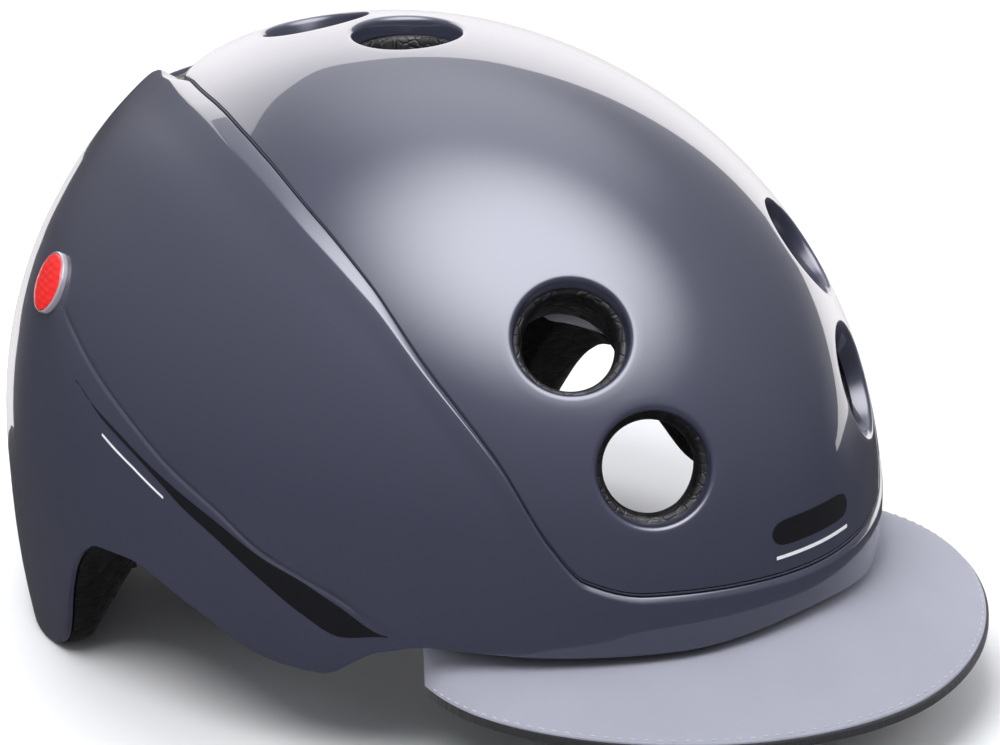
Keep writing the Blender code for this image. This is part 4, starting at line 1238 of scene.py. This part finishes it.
def pad(name, grid, inward, thickness, finish, body, node):
    """Crowned pad with a thin welded border, on a grid of points of its back face."""
    rows, cols = grid.shape[:2]
    v = np.linspace(-1, 1, rows)[:, None] + np.zeros((1, cols))
    u = np.linspace(-1, 1, cols)[None, :] + np.zeros((rows, 1))
    border_v = 2.6 * MM / (np.linalg.norm(grid[0, cols // 2] - grid[-1, cols // 2]) / 2)
    border_u = 2.6 * MM / (np.linalg.norm(grid[rows // 2, 0] - grid[rows // 2, -1]) / 2)
    rise_v = np.clip((1 - np.abs(v)) / border_v - 0.75, 0, 3) / 3
    rise_u = np.clip((1 - np.abs(u)) / border_u - 0.75, 0, 3) / 3
    rise = np.sqrt(np.sin(rise_v * pi / 2) * np.sin(rise_u * pi / 2))
    border = 1.3 * MM
    face = grid + inward * (border + (thickness * 0.92 - border) * rise)[..., None]
    back = grid + inward * 0.1 * MM
    count = rows * cols
    vertices = np.concatenate([face.reshape(-1, 3), back.reshape(-1, 3)])
    faces = []
    for i in range(rows - 1):
        for j in range(cols - 1):
            k = i * cols + j
            faces.append((k, k + 1, k + cols + 1, k + cols))
            faces.append((count + k, count + k + cols, count + k + cols + 1, count + k + 1))
    rim = [j for j in range(cols)] + [i * cols + cols - 1 for i in range(1, rows)]
    rim += [(rows - 1) * cols + j for j in range(cols - 2, -1, -1)]
    rim += [i * cols for i in range(rows - 2, 0, -1)]
    for i, k in enumerate(rim):
        following = rim[(i + 1) % len(rim)]
        faces.append((k, count + k, count + following, following))
    made = piece(name, vertices, faces, finish, body, (node,), sharp=70)
    fixed = [k for k in range(count) if rise.reshape(-1)[k] <= 0.0]
    puff(made, fixed + list(range(count, 2 * count)), 1.0 * MM)
    smoothing = made.modifiers.new("Smooth", "SUBSURF")
    smoothing.levels = 1
    smoothing.render_levels = 1
    return made


def cavity_grid(azimuths, top, foot, rows):
    """Grid on the cavity wall with rounded ends, and its inward normals."""
    cols = len(azimuths)
    ends = np.abs(np.linspace(-1, 1, cols))
    pull = 1 - 0.35 * np.clip((ends - 0.86) / 0.14, 0, 1) ** 2
    middle = (top + foot) / 2
    half = (foot - top) / 2 * pull
    points = np.array([on_body(azimuths, middle + half * t, -PAD_INSET, CAVITY)
                       for t in np.linspace(-1, 1, rows)])
    return points, -outward(points, CAVITY)


def build_pads():
    a = np.linspace(-46, 46, 56)
    grid, inward = cavity_grid(a, polar_at_height(a, 0.008 + 0 * a, CAVITY),
                               polar_at_height(a, -0.009 + 0 * a, CAVITY), 12)
    pad("pad_brow", grid, inward, 8.0 * MM, FINISH["knit_dark"], "helmet",
        "brow_pad")
    top = [(67, 0.028), (88, 0.028), (106, 0.014)]
    foot = [(67, -0.006), (78, -0.001), (90, 0.009), (106, 0.0095)]
    for side, sign in (("left", 1), ("right", -1)):
        a = np.linspace(67, 106, 26)
        grid, inward = cavity_grid(sign * a, polar_at_height(a, smooth(top, a), CAVITY),
                                   polar_at_height(a, smooth(foot, a), CAVITY), 15)
        # The side pads use the near-white knit, which is painted light for the backdrop seen through
        # the vents.
        pad(f"pad_side_{side}", grid, inward, PAD, FINISH["knit_painted_light"], "helmet",
            f"side_pad_{side}")
        y = np.linspace(-0.034, 0.056, 36)[None, :]
        x = np.linspace(0.026, 0.050, 12)[:, None]
        d = np.stack([sign * x + 0 * y, y + 0 * x, 0.080 + 0 * x + 0 * y], axis=-1)
        d /= np.linalg.norm(d, axis=-1)[..., None]
        grid = CENTRE + d * (reach(d, CAVITY) - PAD_INSET)[..., None]
        pad(f"pad_crown_{side}", grid, -outward(grid, CAVITY), PAD, FINISH["knit_dark"],
            "helmet", f"crown_pad_{side}")
    low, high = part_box("rear_pad")
    x = np.linspace(low.x + 0.3 * MM, high.x - 0.3 * MM, 26)[None, :]
    z = np.linspace(low.z + 0.3 * MM, high.z - 0.3 * MM, 14)[:, None]
    grid = np.stack([x + 0 * z, high.y + 0 * x + 0 * z, z + 0 * x], axis=-1)
    inward = np.zeros_like(grid)
    inward[..., 1] = -1
    pad("pad_rear", grid, inward, high.y - low.y, FINISH["knit_dark"], "cradle",
        "rear_pad")


# ---------------------------------------------------------------- straps

WEB_WIDTH = 0.018
WEB = 0.0015
STRAP_INSET = 0.0006
ARCH_Y = -0.052
ARCH_RADIUS = 0.080
LEG_FOOT = 86.0
DIVIDER_ANGLE = 56.0
STRAP_GAP = 2.3
BUCKLE_HALF = 20.4
BUCKLE_STANDOFF = 0.0098
REAR_LEG = [(0.070, 0.049, 0.004), (0.072, 0.036, 0.030), (0.074, 0.004, 0.043),
            (0.071, -0.034, 0.044)]


def wall(d, inset):
    d = np.array(d, float)
    d /= np.linalg.norm(d)
    return Vector(CENTRE + d * (reach(d, CAVITY) - inset))


def cavity_inward(point):
    q = np.array(point) - CENTRE
    y_axis = CAVITY["front"] if q[1] < 0 else CAVITY["back"]
    z_axis = CAVITY["up"] if q[2] > 0 else CAVITY["down"]
    return -Vector(q / np.array((CAVITY["side"], y_axis, z_axis)) ** 2).normalized()


def arch_direction(angle):
    a = radians(angle)
    return Vector((ARCH_RADIUS * sin(a), ARCH_Y, ARCH_RADIUS * cos(a)))


def web_outline():
    """Cross-section of the webbing: across it and through it, with soft edges."""
    half, r = WEB_WIDTH / 2, WEB / 2
    points = []
    for side in (1, -1):
        for t in np.linspace(-pi / 2, pi / 2, 5):
            points.append((side * (half - r * 0.8 + r * 0.8 * cos(t)), r + side * r * sin(t)))
    return points


def lay_web(name, frames, body, node, blend=None):
    """Webbing through frames of (centre, across, inward)."""
    outline = web_outline()
    rows, uv = [], []
    run = 0.0
    for i, (centre, across, inward) in enumerate(frames):
        if i:
            run += (Vector(centre) - Vector(frames[i - 1][0])).length
        rows.append(np.array([tuple(Vector(centre) + across * s + inward * t)
                              for s, t in outline]))
        uv += [(s, run) for s, t in outline]
    vertices, faces = tube(rows)
    made = piece(name, vertices, faces, FINISH["webbing"], body, (node,), uv=uv,
                 sharp=60)
    if blend:
        made.parent = None
        del made["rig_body"]
        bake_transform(made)
    return made


def wall_frames(run, inset):
    centres = [wall(d, inset) for d in run]
    frames = []
    for i, c in enumerate(centres):
        ahead = centres[min(i + 1, len(centres) - 1)] - centres[max(i - 1, 0)]
        inward = cavity_inward(c)
        frames.append((c, ahead.cross(inward).normalized(), inward))
    return frames


def bartack(name, frames, body):
    """Dense zigzag of thread that holds a webbing end."""
    vertices, faces = [], []
    r = 0.22 * MM
    for lane in (0.25, 0.6):
        i = max(1, int(lane * (len(frames) - 1)))
        c, across, inward = frames[i]
        ahead = (Vector(frames[i][0]) - Vector(frames[i - 1][0])).normalized()
        points = []
        for k in range(29):
            s = (k / 28 - 0.5) * WEB_WIDTH * 0.78
            points.append(Vector(c) + across * s + ahead * ((k % 2) * 1.6 * MM)
                          + inward * (WEB + 0.08 * MM))
        rows = []
        for p in points:
            turn = [2 * pi * n / 5 for n in range(5)]
            rows.append(np.array([tuple(p + ahead * (r * cos(t)) + inward * (r * sin(t)))
                                  for t in turn]))
        v, f = tube(rows)
        faces += [tuple(n + len(vertices) for n in face) for face in f]
        vertices += [tuple(x) for x in v]
    return piece(name, vertices, faces, FINISH["thread_dark"], body)


def build_straps():
    inset = PAD_INSET + STRAP_INSET
    lift = BUCKLE_STANDOFF + 0.0022
    seat = wall(arch_direction(0), 0)
    toward = (Vector(CENTRE) - seat).normalized()
    forward = toward.cross(Vector((1, 0, 0)))
    for side, sign in (("left", 1), ("right", -1)):
        gap = degrees((0.009 / 2 + 8 * GAP) / ARCH_RADIUS)
        half = degrees((0.025 / 2 + 3 * GAP) / ARCH_RADIUS)
        leg = [arch_direction(sign * t)
               for t in np.linspace(LEG_FOOT - gap, DIVIDER_ANGLE + half + STRAP_GAP, 14)]
        frames = wall_frames(leg, inset)
        lay_web(f"web_front_{side}", frames, "helmet", f"front_strap_{side}")
        bartack(f"tack_front_{side}", frames, "helmet")
        run = spline([(x * sign, y, z) for x, y, z in REAR_LEG], 60)
        frames = wall_frames(run, inset)
        lay_web(f"web_rear_{side}", frames, "helmet", f"rear_strap_{side}")
        bartack(f"tack_rear_{side}", frames[:16], "helmet")
        frames = []
        for t in np.linspace(DIVIDER_ANGLE - half - STRAP_GAP, BUCKLE_HALF, 36):
            drop = inset + (lift - inset) * ((DIVIDER_ANGLE - t) / 40) ** 2
            c = wall(arch_direction(sign * t), drop)
            inward = (Vector(CENTRE) + Vector((0, ARCH_Y * 0.9, 0)) - c).normalized()
            frames.append((c, forward, inward))
        blend = None
        if side == "left":
            blend = ("helmet", "buckle_tongue", tuple(frames[3][0]), tuple(frames[-1][0]))
        lay_web(f"web_chin_{side}", frames, "helmet", f"chin_strap_{side}", blend)


# ---------------------------------------------------------------- fittings


def build_fittings():
    hard = FINISH["plastic"]
    for side in ("left", "right"):
        refined(f"front_anchor_{side}", hard, "helmet", 0.7 * MM)
        refined(f"rear_anchor_{side}", hard, "helmet", 0.7 * MM)
        refined(f"divider_{side}", hard, "helmet", 0.9 * MM)
        refined(f"divider_lever_{side}", hard, f"lever_{side}", 0.35 * MM, 2)
        refined(f"band_arm_{side}", hard, f"arm_{side}", 0.5 * MM, 2, 40)
    refined("buckle_socket", hard, "helmet", 0.7 * MM)
    refined("buckle_tongue", hard, "buckle_tongue", 0.7 * MM)
    refined("buckle_socket_magnet", FINISH["magnet"], "helmet", 0.2 * MM, 2)
    refined("buckle_tongue_magnet", FINISH["magnet"], "buckle_tongue", 0.2 * MM, 2)
    refined("hanger_clip", hard, "helmet", 0.5 * MM)
    refined("cradle_hanger", hard, "cradle", 0.5 * MM, 2, 40)
    refined("cradle_yoke", hard, "cradle", 0.8 * MM)
    refined("dial_cover", hard, "cradle", 0.8 * MM)
    refined("dial_detent", hard, "cradle", 0.3 * MM, 2)
    refined("dial_pinion", hard, "dial", 0.2 * MM, 2)


def build_knob():
    """Fluted dial knob with a dished face."""
    low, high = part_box("dial_knob")
    centre = np.array([(low.x + high.x) / 2, low.y, (low.z + high.z) / 2])
    r = (high.x - low.x) / 2
    depth = high.y - low.y
    flutes, sides = 20, 240
    turn = np.linspace(0, 2 * pi, sides, endpoint=False)
    dip = 0.9 * MM * (0.5 + 0.5 * np.cos(turn * flutes)) ** 1.6
    profile = [(0.0, 0.86 * r, 0), (0.0, r, 1), (depth - 0.4 * MM, r * 0.985, 1),
               (depth - 0.1 * MM, 0.80 * r, 0.15), (depth - 1.0 * MM, 0.70 * r, 0),
               (depth - 1.1 * MM, 0.38 * r, 0), (depth - 0.3 * MM, 0.30 * r, 0),
               (depth - 0.3 * MM, 0.02 * r, 0)]
    rows = []
    for along, size, share in profile:
        radius = size - dip * share
        rows.append(centre + np.stack([radius * np.cos(turn), along + 0 * turn,
                                       radius * np.sin(turn)], axis=-1))
    rows = rounded(rows, [0.6 * MM, 1.1 * MM, 0.6 * MM, 0.5 * MM, 0.5 * MM, 0.5 * MM], 4)
    vertices, faces = tube(rows)
    piece("knob", vertices, faces, FINISH["rubber"], "dial", ("dial_knob",),
          sharp=50)


# ---------------------------------------------------------------- studio


def sky_point(azimuth, elevation, distance):
    a, e = radians(azimuth), radians(elevation)
    d = Vector((sin(a) * cos(e), -cos(a) * cos(e), sin(e)))
    return Vector(CENTRE) + d * distance


def only_in_reflections(thing):
    thing.visible_camera = False
    thing.visible_diffuse = False
    thing.visible_shadow = False


def glowing(name, strength, colour=(1, 1, 1)):
    made = bpy.data.materials.new(name)
    made.use_nodes = True
    tree = made.node_tree
    tree.nodes.clear()
    out = tree.nodes.new("ShaderNodeOutputMaterial")
    emit = tree.nodes.new("ShaderNodeEmission")
    emit.inputs["Color"].default_value = (*colour, 1)
    emit.inputs["Strength"].default_value = strength
    tree.links.new(emit.outputs["Emission"], out.inputs["Surface"])
    return made, tree, emit


# softboxes: azimuth, lowest and highest elevation
BACK_PANEL = [(66, -7, -5.5), (74, -7, -3.5), (82, -7.5, 0.5), (90, -8.5, 3.5), (97, -9.5, 7),
              (103, -11, 13), (110, -13.5, 23), (118, -20, 30), (127, -24, 34.5),
              (137, -24, 38), (144, -18, 40), (152, 8, 41), (160, 19, 43), (168, 24, 44.5),
              (176, 33, 46), (184, 38, 47), (192, 46, 47)]
REAR_STRIP = [(138, -21, -13), (146, -21, -9), (156, -20, -7), (164, -19, -13)]


def fading(name, centre, near, far, colour=(1, 1, 1)):
    """Glow whose strength runs between two (distance from centre, strength) pairs."""
    made, tree, emit = glowing(name, near[1], colour)
    source = tree.nodes.new("ShaderNodeTexCoord")
    away = tree.nodes.new("ShaderNodeVectorMath")
    away.operation = "DISTANCE"
    away.inputs[1].default_value = centre
    level = tree.nodes.new("ShaderNodeMapRange")
    level.inputs["From Min"].default_value = near[0]
    level.inputs["From Max"].default_value = far[0]
    level.inputs["To Min"].default_value = near[1]
    level.inputs["To Max"].default_value = far[1]
    tree.links.new(source.outputs["Object"], away.inputs[0])
    tree.links.new(away.outputs["Value"], level.inputs["Value"])
    tree.links.new(level.outputs["Result"], emit.inputs["Strength"])
    return made


def panel(name, outline, distance, near, far):
    """Softbox seen only in reflections, curved round the object between two elevations."""
    count = 90
    azimuths = np.linspace(outline[0][0], outline[-1][0], count)
    low, high = [[sky_point(a, e, distance) for a, e in
                  zip(azimuths, smooth([(knot[0], knot[side]) for knot in outline], azimuths))]
                 for side in (1, 2)]
    faces = [(k, k + 1, count + k + 1, count + k) for k in range(count - 1)]
    mesh = bpy.data.meshes.new(name)
    mesh.from_pydata([tuple(c) for c in low + high], [], faces)
    middle = sky_point(134, -21, distance)
    mesh.materials.append(fading(name, middle, near, far, (1, 0.975, 0.99)))
    made = bpy.data.objects.new(name, mesh)
    bpy.context.scene.collection.objects.link(made)
    only_in_reflections(made)
    return made


def soft_disc(name, azimuth, elevation, distance, radius, strength, core=0.25,
              colour=(1, 1, 1)):
    """Round diffuser that fades towards its edge, seen only in reflections."""
    mesh = bpy.data.meshes.new(name)
    bm = bmesh.new()
    bmesh.ops.create_circle(bm, cap_ends=True, segments=64, radius=radius)
    bm.to_mesh(mesh)
    bm.free()
    made_material, tree, emit = glowing(name, strength, colour)
    source = tree.nodes.new("ShaderNodeTexCoord")
    length = tree.nodes.new("ShaderNodeVectorMath")
    length.operation = "LENGTH"
    fade = tree.nodes.new("ShaderNodeMapRange")
    fade.interpolation_type = "SMOOTHERSTEP"
    fade.inputs["From Min"].default_value = radius
    fade.inputs["From Max"].default_value = radius * core
    fade.inputs["To Max"].default_value = strength
    tree.links.new(source.outputs["Object"], length.inputs[0])
    tree.links.new(length.outputs["Value"], fade.inputs["Value"])
    tree.links.new(fade.outputs["Result"], emit.inputs["Strength"])
    clear = tree.nodes.new("ShaderNodeBsdfTransparent")
    join = tree.nodes.new("ShaderNodeAddShader")
    tree.links.new(emit.outputs["Emission"], join.inputs[0])
    tree.links.new(clear.outputs["BSDF"], join.inputs[1])
    tree.links.new(join.outputs["Shader"], tree.nodes["Material Output"].inputs["Surface"])
    mesh.materials.append(made_material)
    made = bpy.data.objects.new(name, mesh)
    made.location = sky_point(azimuth, elevation, distance)
    made.rotation_euler = (Vector(CENTRE) - made.location).to_track_quat("Z", "Y").to_euler()
    bpy.context.scene.collection.objects.link(made)
    only_in_reflections(made)
    return made


def area_light(name, azimuth, elevation, distance, size, power):
    data = bpy.data.lights.new(name, "AREA")
    data.shape = "DISK"
    data.size = size
    data.energy = power
    made = bpy.data.objects.new(name, data)
    made.location = sky_point(azimuth, elevation, distance)
    made.rotation_euler = (Vector(CENTRE) - made.location).to_track_quat("-Z", "Y").to_euler()
    bpy.context.scene.collection.objects.link(made)
    made.visible_camera = False
    made.visible_glossy = False


STUDIO_RADIUS = 7.0


def build_studio():
    """Floor, pale wall, and the softboxes and lamps that give the photo's reflections."""
    bpy.ops.mesh.primitive_circle_add(vertices=96, radius=STUDIO_RADIUS, fill_type="NGON")
    floor = bpy.context.object
    floor.name = "studio_floor"
    floor.location = (0, 0, -0.0002)
    floor.data.materials.append(floor_finish())
    floor.visible_glossy = False

    bpy.ops.mesh.primitive_cylinder_add(vertices=96, radius=STUDIO_RADIUS, depth=12,
                                        end_fill_type="NGON")
    wall_object = bpy.context.object
    wall_object.name = "studio_wall"
    wall_object.location = (0, 0, 5.9)
    wall_object.data.materials.append(glowing("studio_wall", 0.86)[0])
    wall_object.visible_diffuse = False
    wall_object.visible_glossy = False
    wall_object.visible_shadow = False

    panel("back_softbox", BACK_PANEL, 2.2, (0.2, 0.3), (1.9, 2.9))
    panel("rear_strip", REAR_STRIP, 2.2, (0.2, 0.3), (1.9, 2.9))
    soft_disc("top_diffuser", -35, 66, 1.6, 1.55, 9.0, 0.10, (0.93, 0.93, 1.0))
    soft_disc("rear_diffuser", 122, 66, 1.6, 1.2, 1.5, 0.10, (0.9, 0.93, 1.0))
    area_light("key", -70, 62, 1.8, 1.1, 22)
    area_light("fill", 40, 35, 2.2, 1.4, 10)
    area_light("back", 150, 55, 2.0, 1.2, 12)

    world = bpy.data.worlds.new("studio")
    bpy.context.scene.world = world
    world.use_nodes = True
    tree = world.node_tree
    background = tree.nodes["Background"]
    background.inputs["Color"].default_value = (0.92, 0.94, 1.0, 1)
    source = tree.nodes.new("ShaderNodeTexCoord")
    split = tree.nodes.new("ShaderNodeSeparateXYZ")
    rise = tree.nodes.new("ShaderNodeMapRange")
    rise.inputs["From Min"].default_value = -0.1
    rise.inputs["From Max"].default_value = 0.9
    rise.inputs["To Min"].default_value = 0.08
    rise.inputs["To Max"].default_value = 0.75
    tree.links.new(source.outputs["Generated"], split.inputs["Vector"])
    tree.links.new(split.outputs["Z"], rise.inputs["Value"])
    tree.links.new(rise.outputs["Result"], background.inputs["Strength"])
    bpy.context.scene.view_settings.view_transform = "Standard"


CAMERA_DISTANCE = 1.15
CAMERA_LENS = 154.5


def build_camera():
    """Camera at the photo's angle: 46 degrees to the wearer's right, 21 degrees up."""
    azimuth, elevation, roll = radians(-46.29), radians(20.66), radians(-1.64)
    back = Vector((sin(azimuth) * cos(elevation), -cos(azimuth) * cos(elevation),
                   sin(elevation)))
    right = Vector((cos(azimuth), sin(azimuth), 0))
    up = back.cross(right)
    turned_right = right * cos(roll) + up * sin(roll)
    turned_up = -right * sin(roll) + up * cos(roll)
    target = Vector(CENTRE) + Vector((-0.0204, -0.0539, 0.0386))
    data = bpy.data.cameras.new("camera")
    data.sensor_width = 36
    data.lens = CAMERA_LENS
    data.clip_start = 0.05
    data.clip_end = 60
    camera = bpy.data.objects.new("camera", data)
    matrix = Matrix((turned_right, turned_up, back)).transposed().to_4x4()
    matrix.translation = target + back * CAMERA_DISTANCE
    camera.matrix_world = matrix
    bpy.context.scene.collection.objects.link(camera)
    bpy.context.scene.camera = camera


# ---------------------------------------------------------------- program

build_camera()
build_studio()
build_dome()
build_lower_shell()
build_liner()
build_graphics()
build_peak()
build_reflectors()
build_pads()
build_straps()
build_fittings()
build_knob()
